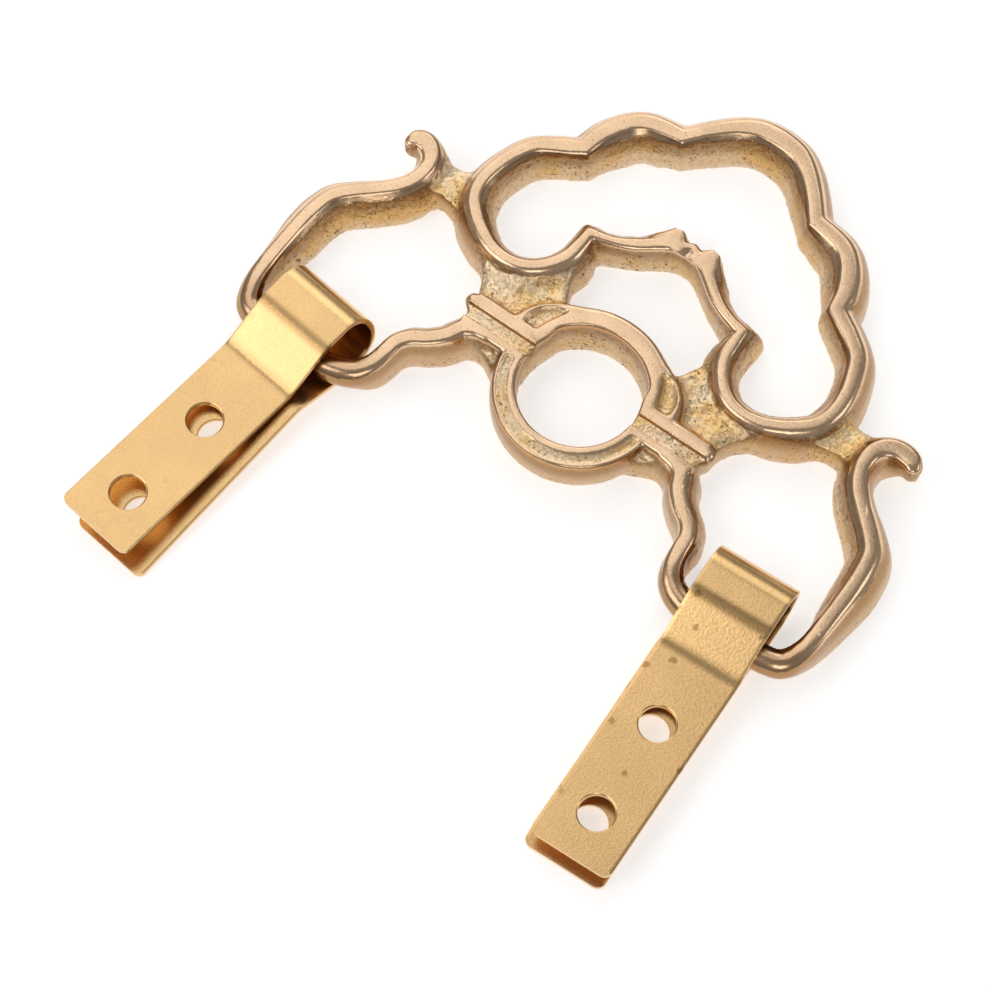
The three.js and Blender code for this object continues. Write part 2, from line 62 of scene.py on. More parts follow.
# The shell's band, right half, from the apex round to the notch over the ring. Each span runs
# between two pointed junctions: x and y as shares of the half span and the shell's rise, then
# the shares of the widest rib, the outer margin and the opening's margin.
SHELL_SPANS = [
    [
        (0, 1, 1, 1, 1), (0.064, 0.992, 0.95, 1, 1), (0.122, 0.962, 0.84, 1, 1),
        (0.18, 0.911, 0.76, 1, 1), (0.246, 0.835, 0.74, 1, 0.6),
    ],
    [
        (0.246, 0.835, 0.74, 1, 0.6), (0.295, 0.829, 0.84, 1, 1), (0.357, 0.815, 0.9, 1, 1.1),
        (0.397, 0.788, 0.9, 1, 1.2), (0.432, 0.742, 0.94, 1, 1.2), (0.453, 0.695, 0.9, 1, 1),
        (0.464, 0.637, 0.8, 1, 0.5),
    ],
    [
        (0.464, 0.637, 0.8, 1, 0.5), (0.499, 0.616, 0.83, 1, 0.55), (0.543, 0.591, 0.8, 1, 0.6),
        (0.596, 0.551, 0.74, 1, 0.75), (0.63, 0.481, 0.7, 1, 0.85), (0.647, 0.416, 0.66, 1, 1),
        (0.648, 0.36, 0.66, 1, 1.2), (0.631, 0.312, 0.66, 1, 1.2), (0.59, 0.271, 0.66, 1, 1.1),
        (0.541, 0.239, 0.64, 0.9, 1), (0.493, 0.218, 0.6, 0.8, 1), (0.436, 0.211, 0.56, 0.8, 1),
        (0.385, 0.22, 0.58, 0.8, 1), (0.346, 0.242, 0.6, 0.9, 1), (0.31, 0.281, 0.63, 1, 0.9),
        (0.288, 0.325, 0.64, 1.1, 0.9), (0.283, 0.37, 0.6, 0.95, 0.9),
        (0.281, 0.421, 0.48, 0.5, 1.1),
    ],
    [
        (0.281, 0.421, 0.48, 0.5, 1.1), (0.234, 0.431, 0.42, 0.4, 1), (0.189, 0.446, 0.46, 0.2, 1),
        (0.148, 0.468, 0.56, 0.2, 1), (0.075, 0.52, 0.62, 0.25, 0.9), (0, 0.557, 0.34, 0.4, 0.5),
    ],
]

# A side loop from its finial's tip to the collar: x and y shares (y of the bar's distance where
# it is negative), narrowing, blend towards the round bar, outer and opening margin shares.
LOOP_ROWS = [
    (0.92, 0.36, 0.8, 0, 0.35, 0.35), (0.909, 0.372, 1.1, 0, 0.4, 0.4),
    (0.884, 0.381, 1.2, 0, 0.45, 0.45), (0.852, 0.376, 1.2, 0, 0.5, 0.5),
    (0.826, 0.356, 1.12, 0, 0.55, 0.8), (0.812, 0.329, 1.05, 0, 0.6, 1),
    (0.809, 0.298, 1, 0, 0.7, 1), (0.814, 0.266, 1, 0, 0.7, 1), (0.838, 0.221, 1, 0, 0.7, 1),
    (0.883, 0.174, 1, 0, 0.8, 1), (0.938, 0.127, 1, 0, 1, 1), (0.982, 0.078, 1, 0, 1.15, 1),
    (0.999, 0.014, 1, 0, 1.15, 1), (1.004, -0.11, 1, 0, 1.1, 1), (1.006, -0.35, 1, 0, 0.8, 0.8),
    (1.005, -0.58, 1, 0, 0.5, 0.35), (0.998, -0.77, 1, 0.4, 0.5, 0.2), (0.968, -0.935, 1, 1, 1, 1),
    (0.895, -0.99, 1, 1, 1, 1), (0.8, -1, 1, 1, 1, 1), (0.72, -1, 1, 1, 1, 1),
    (0.647, -0.99, 1, 1, 1, 1), (0.581, -0.915, 1, 0.8, 0.8, 0.4), (0.55, -0.8, 1, 0.25, 0.5, 0.3),
    (0.538, -0.66, 1, 0, 0.35, 0.4), (0.531, -0.53, 1, 0, 0.35, 0.6),
    (0.504, -0.43, 1, 0, 0.35, 0.9), (0.459, -0.345, 1, 0, 0.4, 1), (0.423, -0.24, 1, 0, 0.5, 1),
    (0.4, -0.12, 1, 0, 0.6, 1), (0.364, -0.058, 1, 0, 0.7, 1), (0.32, -0.04, 1, 0, 0.5, 1),
]

# A tooth in the notch, from foot to tip: x and y shares, and how broad it is.
TOOTH_ROWS = [
    (0.06, 0.512, 1.9), (0.062, 0.535, 1.5), (0.064, 0.56, 1.0), (0.067, 0.581, 0.5),
]

# The low webs and the leaf-shaped recess in the arch, right half, in the same shares.
WEBS = [
    [
        (0.2, 0.19), (0.205, 0.215), (0.222, 0.25), (0.25, 0.3), (0.32, 0.27), (0.436, 0.22),
        (0.52, 0.235), (0.5, 0.175), (0.462, 0.133), (0.44, 0.09), (0.436, 0.04), (0.4, 0.028),
        (0.23, 0.028), (0.245, 0.16),
    ],
    [
        (0.64, 0.41), (0.69, 0.388), (0.76, 0.378), (0.815, 0.39), (0.815, 0.25), (0.775, 0.268),
        (0.72, 0.274), (0.66, 0.258), (0.62, 0.3),
    ],
    [
        (0.2, -0.02), (0.37, -0.03), (0.345, -0.055), (0.3, -0.066), (0.266, -0.088), (0.2, -0.1),
    ],
]
LEAF = [
    (0.172, 0.175), (0.213, 0.165), (0.243, 0.142), (0.258, 0.113), (0.262, 0.082), (0.218, 0.082),
    (0.212, 0.108), (0.201, 0.134), (0.188, 0.155),
]

# Half of a cast band's section, from its back up to the rib's top. Each point gives the shares
# of the rib's half-width and of the margin, a fixed offset, whether heights are from the ribs'
# tops, its height where the rib stands clear, and its height where the rib rounds off outwards.
BAND_HALF = [
    (1, 1, -0.26, 0, 0.0, 0.0), (1, 1, -0.08, 0, 0.08, 0.08), (1, 1, 0.0, 0, 0.35, 0.35),
    (1, 1, 0.0, 0, 0.8, 0.9), (1, 0.92, 0.0, 0, 1.5, 1.8), (1, 0.8, 0.0, 1, -1.9, -1.6),
    (1, 0.58, 0.0, 1, -1.25, -0.98), (1, 0.43, 0.02, 1, -0.78, -0.68),
    (1, 0.27, 0.06, 1, -0.5, -0.45), (1, 0.11, 0.1, 1, -0.36, -0.27), (1, 0, 0.14, 1, -0.3, -0.17),
    (1, 0, 0.08, 1, -0.26, -0.12), (1, 0, 0.0, 1, -0.12, -0.07), (1, 0, -0.1, 1, -0.04, -0.03),
    (0.8, 0, -0.05, 1, -0.01, -0.01), (0.45, 0, 0.0, 1, 0.0, 0.0), (0.12, 0, 0.0, 1, 0.0, 0.0),
]

# The ring's section, out from the middle of its channel: a broad ridge beside the bore and a
# narrow, lower one outside. Each point gives its offset, whether its height is from the ribs'
# tops, and its height.
RING_INNER = [
    (0.2, 0, 0.0), (0.9, 0, 0.35), (1.3, 0, 0.8), (1.44, 0, 1.4), (1.42, 1, -1.0), (1.31, 1, -0.5),
    (1.24, 1, -0.2), (1.12, 1, -0.05), (0.95, 1, 0.0), (0.62, 1, 0.0), (0.46, 1, -0.04),
    (0.32, 1, -0.16), (0.12, 1, -0.2),
]
RING_OUTER = [
    (0.2, 0, 0.0), (0.6, 0, 0.35), (0.84, 0, 0.8), (0.92, 0, 1.4), (0.92, 1, -1.7), (0.9, 1, -1.1),
    (0.83, 1, -0.6), (0.72, 1, -0.26), (0.57, 1, -0.08), (0.44, 1, -0.08), (0.3, 1, -0.2),
    (0.12, 1, -0.24),
]

# How each strap hangs and was folded: its place along the half span, its turn in plan in degrees,
# the gap to its bar, how far the rear leg drifts sideways at the fold and at the free end, how
# much longer that leg is, and how many spots the sheet shows.
STRAPS = [
    {"name": "left_strap", "side": -1, "place": 0.797, "yaw": 6.5, "gap": 0.45,
     "fold_drift": 0.9, "end_drift": 1.4, "back_extra": 0.15, "spotted": 0.12},
    {"name": "right_strap", "side": 1, "place": 0.7735, "yaw": -2.9, "gap": 0.23,
     "fold_drift": -0.25, "end_drift": -0.35, "back_extra": 0.5, "spotted": 0.7},
]

# How finely curves are divided.
PATH_STEP = 0.3
STRIP_STEP = 0.2
SAMPLES = 60  # for each control point, where a curve's length is measured
TOOTH_STEPS, COLLAR_STEPS, ARC_STEPS, BORE_STEPS = 10, 12, 100, 200
CREASE_STEPS, LOOP_STEPS, CORNER_STEPS, HOLE_FACETS, POST_FACETS = 13, 41, 14, 64, 24

# Places in plan from the ring's centre, and depths below the ribs' tops.
FINIAL_LEAN = 0.4  # both finials' tips lean the same way in this casting
FINIAL_TAPER = 1.9  # how far the underside rises at a finial's tip
FINIAL_TIP = {"inset": 0.05, "depth": 0.02, "radius": 0.68}
TOOTH_HALF = 0.86
COLLAR_REACH = (4.7, 11.6)
COLLAR_BARS = ((1.58, 0.62), (-0.48, 0.48))  # height in plan and half-width
COLLAR_GROUND = (-0.48, 1.6)
COLLAR_CHANNEL = (-0.2, 1.02)
CHANNEL_REACH = (4.0, 12.0)
CHANNEL_DULL_REACH = (3.0, 12.2)  # the strip along it that tumbling doesn't polish
NUB = {"x": 11.7, "y": 1.4, "depth": 0.78, "radius": 0.84}
WEB_DEPTH = 0.95
GROUND_DEPTH = 0.5
RECESS_DEPTH = 0.42
RECESS_CLEAR = 0.3
LEAF_DRAFT = 0.45
CHANNEL_DRAFT = 0.14
RING_CHANNEL = 1.22  # middle of the ring's channel, beyond its bore
ARCH_INSET = 0.3
ARCH_BREADTH = 2.1
ARCH_FLARE = (0.33, 0.75)  # where the arch widens, from its middle (0) to its feet (1)
BORE_CLEAR = 0.5
ARCH_BORE_TURN = (22, 40)  # degrees up from the collars over which the bore widens
RING_ZONE = 9.5  # radius within which walls belong to the ring

# How the casting's surface is finished.
MOST_TRIANGLES = 188000
KEEP_SIZE = (0.5, -0.53)  # a smoothing step, and one that undoes its shrinking
WALL_COARSE = 0.05  # heights of the sand's roughness in millimetres
WALL_FINE = 0.045
WEB_ROUGH = 0.11
RIB_ROUGH = 0.02
BEND_GAIN = 3.2
BOX_MARGIN = 1e-6  # metres that a finished piece keeps from its box's sides

# Where one zone of the casting's surface passes into the next, in millimetres: in plan, above
# the back, below the ribs' tops where called a depth, or from the edge of a rib or web.
NOTCH_SIDE, NOTCH_TOP, NOTCH_FOOT = (9.0, 10.2), (17.0, 18.0), (5.0, 7.0)
CLEAR_OF_WEB, CLEAR_OF_RING = (0.1, 0.7), (9.2, 10.2)
RING_WALL, RING_END = (6.9, 7.3), (8.6, 9.2)
RING_BESIDE_WEB, RING_UNDER_ARCH = (0.0, 0.4), (-2.4, 0.0)
OUTER_SIDE = (0.7, 1.1)  # in half-widths of the rib
WEB_FILLET = (0.5, 1.3)
WEB_LOW, WEB_HIGH = (1.0, 2.0), (3.3, 3.6)
RIB_DEPTHS, TUMBLED_DEPTHS, EDGE_DEPTHS = (0.75, 0.35), (0.62, 0.48), (0.6, 0.45)
TAPER_REACH = (0.5, 2.6)
LEAF_EDGE, CHANNEL_EDGE = (-0.05, 0.35), (-0.06, 0.14)
GROOVE_EDGE, GROOVE_START = (-0.4, -0.28), (0.6, 1.2)
BAR_POLISH, BAR_SPAN, BAR_DARKENING = (1.6, 3.4), (14.0, 16.0), (0.9, 1.1)
OUTER_RISE = (0.8, 2.6)
# The thin dark line beside a rib is painted shade of a groove too fine for the mesh.
EDGE_LINE = (0.05, 0.08)  # beyond the rib's edge, and how wide
WALL_TOP, WALL_FOOT, BEVEL_FOOT = (3.4, 3.7), (0.4, 1.5), (3.2, 3.5)
SHADE_START, SHADE_END = (1.8, 3.2), (3.5, 3.8)

# The same for how far a normal points up.
FACING_UP, FACING_BACK, TOP_FACE, STEEP = (0.6, 0.9), (0.6, 0.95), (0.9, 0.99), (0.5, 0.8)

# How many times each part of the fused surface is smoothed.
PASSES = {"all": 4, "walls": 16, "web_edges": 40, "leaves": 14, "last": 2, "bend": 3}
SMOOTHER_SHARE = 0.7  # how much less rough the back and the outer sides are
POCKET_DULL = 0.85
OUTER_POLISH = (0.3, 0.35)  # at an outer side's foot, and what its height adds

# The bore's edge at the front: how much wider, and how far from the ribs' tops.
BORE_EDGE = ((0.0, -0.16), (0.05, -0.06), (0.14, 0.0), (0.6, 0.4))

# A screw hole's edge from back to front: how much wider, which face, and how far from it.
HOLE_EDGE = ((0.26, -1, -0.2), (0.06, -1, 0.0), (0.0, -1, 0.07), (0.0, 1, -0.1),
             (0.04, 1, -0.04), (0.12, 1, 0.0), (0.34, 1, 0.2))
SHEET_EDGE = 0.07  # rounding of the sheet's long edges
CORNER_CLEAR = 0.4  # how far the corners' cutters stand out beside the sheet
LEG_CLEAR = 0.6  # and above it
LOOP_INSIDE = 0.7  # in sheet thicknesses below the loop's outside
SHARP_ANGLE = 25  # degrees
SHORTEST_EDGE = 0.004

# Painted shade across a strap, as dark lines: at the first crease (0) or the second (1), how far
# beyond it, how wide and how strong.
CREASE_SHADE_LINES = ((0, -0.15, 0.22, 1.0), (0, 0.45, 0.28, 1.0), (1, -0.4, 0.3, 0.5))

# Colours of the casting beside the three that can be set. Several of them are painted shade,
# highlight or reflection, as marked.
PALE_SAND = (1.0, 0.77, 0.51)
DULL_GRAIN = (0.62, 0.36, 0.1)
# Painted highlight: pale glints scattered over the rough surface away from the walls.
GLINT_HIGHLIGHT = (1.0, 0.84, 0.58)
# Painted shade: the brown that darkens the steep rough walls.
WALL_SHADE_BROWN = (0.46, 0.25, 0.075)
PEBBLE_GREY = (0.62, 0.5, 0.38)
# Painted reflection of the white floor, pale at the walls' feet.
FOOT_FLOOR_REFLECTION = (0.86, 0.72, 0.54)
# Painted shade: the brown that darkens the polished steep walls.
SATIN_WALL_SHADE = (0.44, 0.255, 0.11)
# Painted shade: a brown band on the steep bevels just below the ribs' tops.
BEVEL_SHADE_BROWN = (0.46, 0.24, 0.09)
# The darker brown painted over the round bars.
BAR_BROWN = (0.5, 0.29, 0.15)
# Painted highlight on the convex ridges.
RIDGE_HIGHLIGHT = (1.0, 0.84, 0.62)
WHITE = (1.0, 1.0, 1.0, 1.0)

# Soft lamps, placed from what the camera aims at: to the right, away from the camera, upwards,
# the distance and size in metres, and watts.
LAMPS = (
    ("far_box", -0.18, 0.42, 0.89, 0.6, 0.42, 0.38),
    ("far_low", -0.1, 0.9, 0.41, 0.65, 0.6, 0.7),
    ("far_right", 0.3, 0.7, 0.65, 0.6, 0.32, 0.23),
    ("left_box", -0.64, -0.2, 0.74, 0.6, 0.42, 0.7),
    ("right_strip", 0.78, -0.15, 0.5, 0.75, 0.3, 0.35),
    ("front_strip", 0.0, -0.74, 0.67, 0.75, 0.36, 0.56),
)
WORLD_STRENGTH = 0.26
FLOOR_GLOW = 0.56
FLOOR_DROP = 0.00002
AIM = (0.00016, -0.01176)  # metres from the ring's centre
LENS = 127.0
SENSOR = 36.0


def length(name, description, default):
    return bpy.props.FloatProperty(name=name, description=description, default=default * MM,
                                   min=0.0, precision=5, subtype="DISTANCE", unit="LENGTH")


def colour(name, description, default):
    return bpy.props.FloatVectorProperty(name=name, description=description, default=default,
                                         size=3, min=0.0, max=1.0, subtype="COLOR")


class HangerCastingSettings(bpy.types.PropertyGroup):
    half_span: length("Half span", "Ring's centre to the middle of a side loop's outer rib", 27.5)
    shell_rise: length("Shell rise", "Ring's centre to the middle of the apex rib", 28.9)
    ring_centre: length("Ring centre", "Distance of the ring's centre from the origin", 1.162)
    cast_height: length("Cast height", "Flat back to the tops of the ribs", 4.1)
    widest_rib: length("Widest rib", "Half-width of the rib at the apex", 0.84)
    loop_rib: length("Loop rib", "Half-width of a side loop's rib", 0.6)
    outer_margin: length("Outer margin", "Body beside the rib on the outside", 1.25)
    opening_margin: length("Opening margin", "Body beside the rib inside the shell", 1.1)
    loop_margin: length("Loop margin", "Body beside the rib inside a side loop", 1.2)
    bar_radius: length("Bar radius", "Radius of the round bars that carry the straps", 1.2)
    bar_below: length("Bar below ring", "Ring's centre to the middle of the bars", 10.2)
    bar_height: length("Bar height", "Back of the casting to the middle of the bars", 2.6)
    bore_radius: length("Bore radius", "Radius of the ring's bore at the front", 5.2)
    bore_back: length("Bore at the back", "Radius of the ring's bore at the back", 5.0)
    arch_bore: length("Arch bore", "Radius of the wider bore under the arch at the front", 5.7)
    arch_bore_back: length("Arch bore at the back", "Radius of that bore at the back", 5.3)
    voxel: length("Voxel", "Grain of the cast surface's mesh", 0.12)
    polished: colour("Polished brass", "Colour of the tumbled ribs and bars", (0.84, 0.58, 0.365))
    rough: colour("Rough brass", "Colour of the sand-cast walls", (0.97, 0.63, 0.27))
    # Used for the real dark pits and speckle, and also painted as shade on the walls, in the
    # hollows and in the dark line beside the ribs.
    tarnish_and_shade: colour("Tarnish", "Colour in the deepest lines", (0.13, 0.07, 0.03))


class HangerStrapSettings(bpy.types.PropertyGroup):
    sheet: length("Sheet", "Thickness of the straps' sheet", 0.5)
    width: length("Width", "Width of a strap", 7.3)
    loop_radius: length("Loop radius", "Outside radius of a strap's loop", 2.7)
    loop_top: length("Loop top", "Flat top from the loop's axis to the first crease", 2.15)
    neck: length("Neck", "First crease to the second along the strap", 4.6)
    leg: length("Leg", "Second crease to the free end", 18.95)
    gap_at_crease: length("Gap at crease", "Between the legs at the second crease", 0.35)
    gap_at_end: length("Gap at end", "Between the legs at their free ends", 2.0)
    crease_softness: length("Crease softness", "Rounding to either side of a crease", 0.75)
    corner_radius: length("Corner radius", "Rounding of the free ends' corners", 0.75)
    hole_radius: length("Hole radius", "Radius of the screw holes", 1.5)
    hole_from_end: length("Hole from end", "First hole's centre from the free end", 4.05)
    hole_pitch: length("Hole pitch", "Between the two holes of a leg", 8.75)
    sheet_colour: colour("Sheet brass", "Colour of the straps", (0.86, 0.56, 0.255))
    # Used for the real tarnish spots and speckle, for the darker inside of the loop, and as
    # painted shade at the creases.
    spots_and_shade: colour("Spots", "Colour of the tarnish spots", (0.36, 0.18, 0.045))


class HangerStageSettings(bpy.types.PropertyGroup):
    floor_size: bpy.props.FloatProperty(
        name="Floor size", description="Side of the square floor",
        default=3.0, min=0.5, subtype="DISTANCE", unit="LENGTH")
    distance: bpy.props.FloatProperty(
        name="Camera distance", description="Camera to what it aims at",
        default=0.28, min=0.05, subtype="DISTANCE", unit="LENGTH")
    azimuth: bpy.props.FloatProperty(
        name="Azimuth", description="Camera's turn about the vertical",
        default=math.radians(36.5), subtype="ANGLE", unit="ROTATION")
    elevation: bpy.props.FloatProperty(
        name="Elevation", description="Camera's height angle",
        default=math.radians(66.2), subtype="ANGLE", unit="ROTATION")
    floor_colour: colour("Floor", "Colour of the floor", (0.8, 0.8, 0.8))


def settings_in_mm(group):
    values = {key: getattr(group, key) for key in group.bl_rna.properties.keys()}
    return {key: value / MM for key, value in values.items() if isinstance(value, float)}


def smooth_share(value, low, high):
    """How far a value has come from low (0) to high (1), eased at both ends."""
    t = np.clip((value - low) / (high - low), 0, 1)
    return t * t * (3 - 2 * t)


def row_at(rows, t):
    """Rows of a table blended at places between its first row (0) and its last (1)."""
    rows = np.asarray(rows, float)
    place = np.clip(t, 0, 1) * (len(rows) - 1)
    low = np.minimum(place.astype(int), len(rows) - 2)
    share = (place - low)[:, None]
    return rows[low] * (1 - share) + rows[low + 1] * share


def centripetal(points, t):
    """Centripetal Catmull-Rom curve through points, at parameters from 0 to 1."""
    points = np.asarray(points, float)
    full = np.vstack([2 * points[0] - points[1], points, 2 * points[-1] - points[-2]])
    place = np.clip(t, 0, 1) * (len(points) - 1)
    low = np.minimum(place.astype(int), len(points) - 2)
    w = (place - low)[:, None]
    p0, p1, p2, p3 = (full[low + k] for k in range(4))
    d0, d1, d2 = (np.sqrt(np.linalg.norm(b - a, axis=1))[:, None]
                  for a, b in ((p0, p1), (p1, p2), (p2, p3)))
    m1 = ((p1 - p0) / d0 - (p2 - p0) / (d0 + d1) + (p2 - p1) / d1) * d1
    m2 = ((p2 - p1) / d1 - (p3 - p1) / (d1 + d2) + (p3 - p2) / d2) * d1
    c2 = -3 * p1 + 3 * p2 - 2 * m1 - m2
    c3 = 2 * p1 - 2 * p2 + m1 + m2
    return p1 + m1 * w + c2 * w ** 2 + c3 * w ** 3


def even_steps(points, step):
    """Parameters at even distances along the curve."""
    fine = np.linspace(0, 1, SAMPLES * len(points))
    at = centripetal(points, fine)
    run = np.r_[0, np.cumsum(np.linalg.norm(np.diff(at, axis=0), axis=1))]
    count = max(2, int(round(run[-1] / step)))
    return np.interp(np.linspace(0, run[-1], count + 1), run, fine)


def across_of(points, closed):
    """Unit-width direction across a path at each point, longer where a bend is mitred."""
    points = np.asarray(points, float)
    if closed:
        before, after = np.roll(points, 1, axis=0), np.roll(points, -1, axis=0)
    else:
        before = np.vstack([2 * points[0] - points[1], points[:-1]])
        after = np.vstack([points[1:], 2 * points[-1] - points[-2]])
    into = points - before
    out = after - points
    into /= np.linalg.norm(into, axis=1)[:, None]
    out /= np.linalg.norm(out, axis=1)[:, None]
    along = into + out
    along /= np.linalg.norm(along, axis=1)[:, None]
    reach = 1 / np.maximum((along * out).sum(1), 0.5)
    return np.stack([-along[:, 1] * reach, along[:, 0] * reach], 1)


def in_plan(s, outline, side=1):
    """Shares of the half span and the shell's rise as millimetres, on either side."""
    return [(side * x * s["half_span"], y * s["shell_rise"]) for x, y in outline]


def rectangle(xs, ys):
    """Corners of a plan rectangle, in order."""
    return [(xs[0], ys[0]), (xs[1], ys[0]), (xs[1], ys[1]), (xs[0], ys[1])]


def linked(name, data):
    obj = bpy.data.objects.new(name, data)
    bpy.context.scene.collection.objects.link(obj)
    return obj


def mesh_object(name, vertices, edges=(), faces=()):
    mesh = bpy.data.meshes.new(name)
    mesh.from_pydata([tuple(map(float, v)) for v in vertices], [tuple(e) for e in edges],
                     [tuple(f) for f in faces])
    mesh.update()
    return linked(name, mesh)


def set_measure(mesh, name, values, kind="FLOAT"):
    attribute = mesh.attributes.new(name, kind, "POINT")
    attribute.data.foreach_set("value" if kind == "FLOAT" else "vector",
                               np.asarray(values, np.float32).ravel())


def set_table(mesh, names, table):
    """Sets one measure from each column of a table."""
    for name, values in zip(names, np.array(table, float).T):
        set_measure(mesh, name, values)


def vertex_values(mesh, key):
    found = np.empty(len(mesh.vertices) * 3, np.float64)
    mesh.vertices.foreach_get(key, found)
    return found.reshape(-1, 3)


def set_coordinates(mesh, values):
    mesh.vertices.foreach_set("co", np.asarray(values, np.float64).ravel())
    mesh.update()


def drop(obj):
    mesh = obj.data
    bpy.data.objects.remove(obj, do_unlink=True)
    if mesh.users == 0:
        bpy.data.meshes.remove(mesh)


def settled(obj, name):
    """A plain mesh object of what obj's modifiers make, in place of obj."""
    graph = bpy.context.evaluated_depsgraph_get()
    made = bpy.data.meshes.new_from_object(obj.evaluated_get(graph), depsgraph=graph)
    made.name = name
    result = linked(name, made)
    obj.modifiers.clear()
    drop(obj)
    return result


def with_modifier(obj, name, kind, **settings):
    modifier = obj.modifiers.new(kind.title(), kind)
    for key, value in settings.items():
        setattr(modifier, key, value)
    return settled(obj, name)


def joined(objects, name):
    """One object of several, merged by distance, with its normals made outward."""
    work = bmesh.new()
    for obj in objects:
        work.from_mesh(obj.data)
    bmesh.ops.remove_doubles(work, verts=work.verts, dist=1e-5)
    bmesh.ops.recalc_face_normals(work, faces=work.faces)
    mesh = bpy.data.meshes.new(name)
    work.to_mesh(mesh)
    work.free()
    for obj in objects:
        drop(obj)
    return linked(name, mesh)


def prism(name, outline, low, high, top_outline=None):
    """A closed body between two heights, on a plan outline that may change towards the top."""
    count = len(outline)
    top_outline = outline if top_outline is None else top_outline
    vertices = [(x, y, low) for x, y in outline] + [(x, y, high) for x, y in top_outline]
    faces = [tuple(range(count))[::-1], tuple(range(count, 2 * count))]
    faces += [(i, (i + 1) % count, count + (i + 1) % count, count + i) for i in range(count)]
    return mesh_object(name, vertices, faces=faces)


def cutter(name, outline, low, high, draft=0.0):
    """A prism whose sides are drawn out by the draft at the top."""
    points = np.array(outline, float)
    out = points - points.mean(0)
    out = out / np.linalg.norm(out, axis=1)[:, None]
    return joined([prism(name, points, low, high, points + out * draft)], name)


def turned_body(ends, rings):
    """Vertices and faces of a closed body: its ends' heights on the axis and the rings between."""
    count = len(rings[0])
    last = 2 + (len(rings) - 1) * count
    vertices = [(0, 0, height) for height in ends] + [point for ring in rings for point in ring]
    faces = []
    for k in range(count):
        n = (k + 1) % count
        faces += [(0, 2 + n, 2 + k), (1, last + k, last + n)]
        faces += [(a + k, a + n, a + count + n, a + count + k) for a in range(2, last, count)]
    return vertices, faces


def lathe(profile, facets):
    """A turned body from a profile of (radius, height) that starts and ends on the axis."""
    turn = [2 * math.pi * k / facets for k in range(facets)]
    rings = [[(radius * math.cos(a), radius * math.sin(a), height) for a in turn]
             for radius, height in profile[1:-1]]
    return turned_body((profile[0][1], profile[-1][1]), rings)


def turned_at(name, x, y, profile):
    vertices, faces = lathe(profile, POST_FACETS)
    return mesh_object(name, [(vx + x, vy + y, vz) for vx, vy, vz in vertices], faces=faces)


class Nodes:
    """Adds nodes to a tree and links them."""

    def __init__(self, tree):
        self.nodes, self.links = tree.nodes, tree.links

    def give(self, socket, value):
        if isinstance(value, bpy.types.NodeSocket):
            self.links.new(value, socket)
        elif value is not None:
            socket.default_value = value

    def node(self, kind, inputs=(), **settings):
        made = self.nodes.new(kind)
        for key, value in settings.items():
            setattr(made, key, value)
        for socket, value in dict(inputs).items():
            self.give(made.inputs[socket], value)
        return made

    def math(self, operation, a, b):
        return self.node("ShaderNodeMath", {0: a, 1: b}, operation=operation).outputs[0]

    def plus(self, a, b):
        return self.math("ADD", a, b)

    def times(self, a, b):
        return self.math("MULTIPLY", a, b)

    def rest_of(self, share):
        return self.math("SUBTRACT", 1.0, share)

    def vector_sum(self, a, b):
        return self.node("ShaderNodeVectorMath", {0: a, 1: b}, operation="ADD").outputs[0]

    def scaled(self, a, share):
        return self.node("ShaderNodeVectorMath", {0: a, "Scale": share},
                         operation="SCALE").outputs[0]


class Tree(Nodes):
    """A geometry tree with named inputs. Its path and section carry their own measures."""

    def __init__(self, name, sizes):
        self.group = bpy.data.node_groups.new(name, "GeometryNodeTree")
        super().__init__(self.group)
        sockets = [("Geometry", "Geometry", None), ("Section", "Object", None),
                   *((label, "Float", default) for label, default in sizes),
                   ("Material", "Material", None)]
        for label, kind, default in sockets:
            item = self.group.interface.new_socket(name=label, in_out="INPUT",
                                                   socket_type="NodeSocket" + kind)
            if default is not None:
                item.default_value = default
        self.group.interface.new_socket(name="Geometry", in_out="OUTPUT",
                                        socket_type="NodeSocketGeometry")
        self.given = self.nodes.new("NodeGroupInput").outputs
        self.target = self.nodes.new("NodeGroupOutput")

    def named(self, name, kind="FLOAT"):
        return self.node("GeometryNodeInputNamedAttribute", {"Name": name},
                         data_type=kind).outputs["Attribute"]

    def blend(self, share, a, b):
        return self.plus(self.times(a, self.rest_of(share)), self.times(b, share))

    def swept(self):
        """The path given its section."""
        path = self.node("GeometryNodeMeshToCurve", {0: self.given["Geometry"]})
        section = self.node("GeometryNodeObjectInfo", {"Object": self.given["Section"]})
        outline = self.node("GeometryNodeMeshToCurve", {0: section.outputs["Geometry"]})
        return self.node("GeometryNodeCurveToMesh", {
            "Curve": path.outputs[0], "Profile Curve": outline.outputs[0],
            "Fill Caps": True}).outputs[0]

    def finish(self, sweep, direction, out, shift):
        """Sets each point out from the path's middle and gives the tree back."""
        place = self.vector_sum(self.named("centre", "FLOAT_VECTOR"),
                                self.scaled(self.named(direction, "FLOAT_VECTOR"), out))
        added = self.node("ShaderNodeCombineXYZ", shift).outputs[0]
        moved = self.node("GeometryNodeSetPosition", {
            "Geometry": sweep, "Position": self.vector_sum(place, added)})
        real = self.node("GeometryNodeRealizeInstances", {0: moved.outputs[0]})
        dressed = self.node("GeometryNodeSetMaterial", {
            "Geometry": real.outputs[0], "Material": self.given["Material"]})
        self.links.new(dressed.outputs[0], self.target.inputs[0])
        return self.group


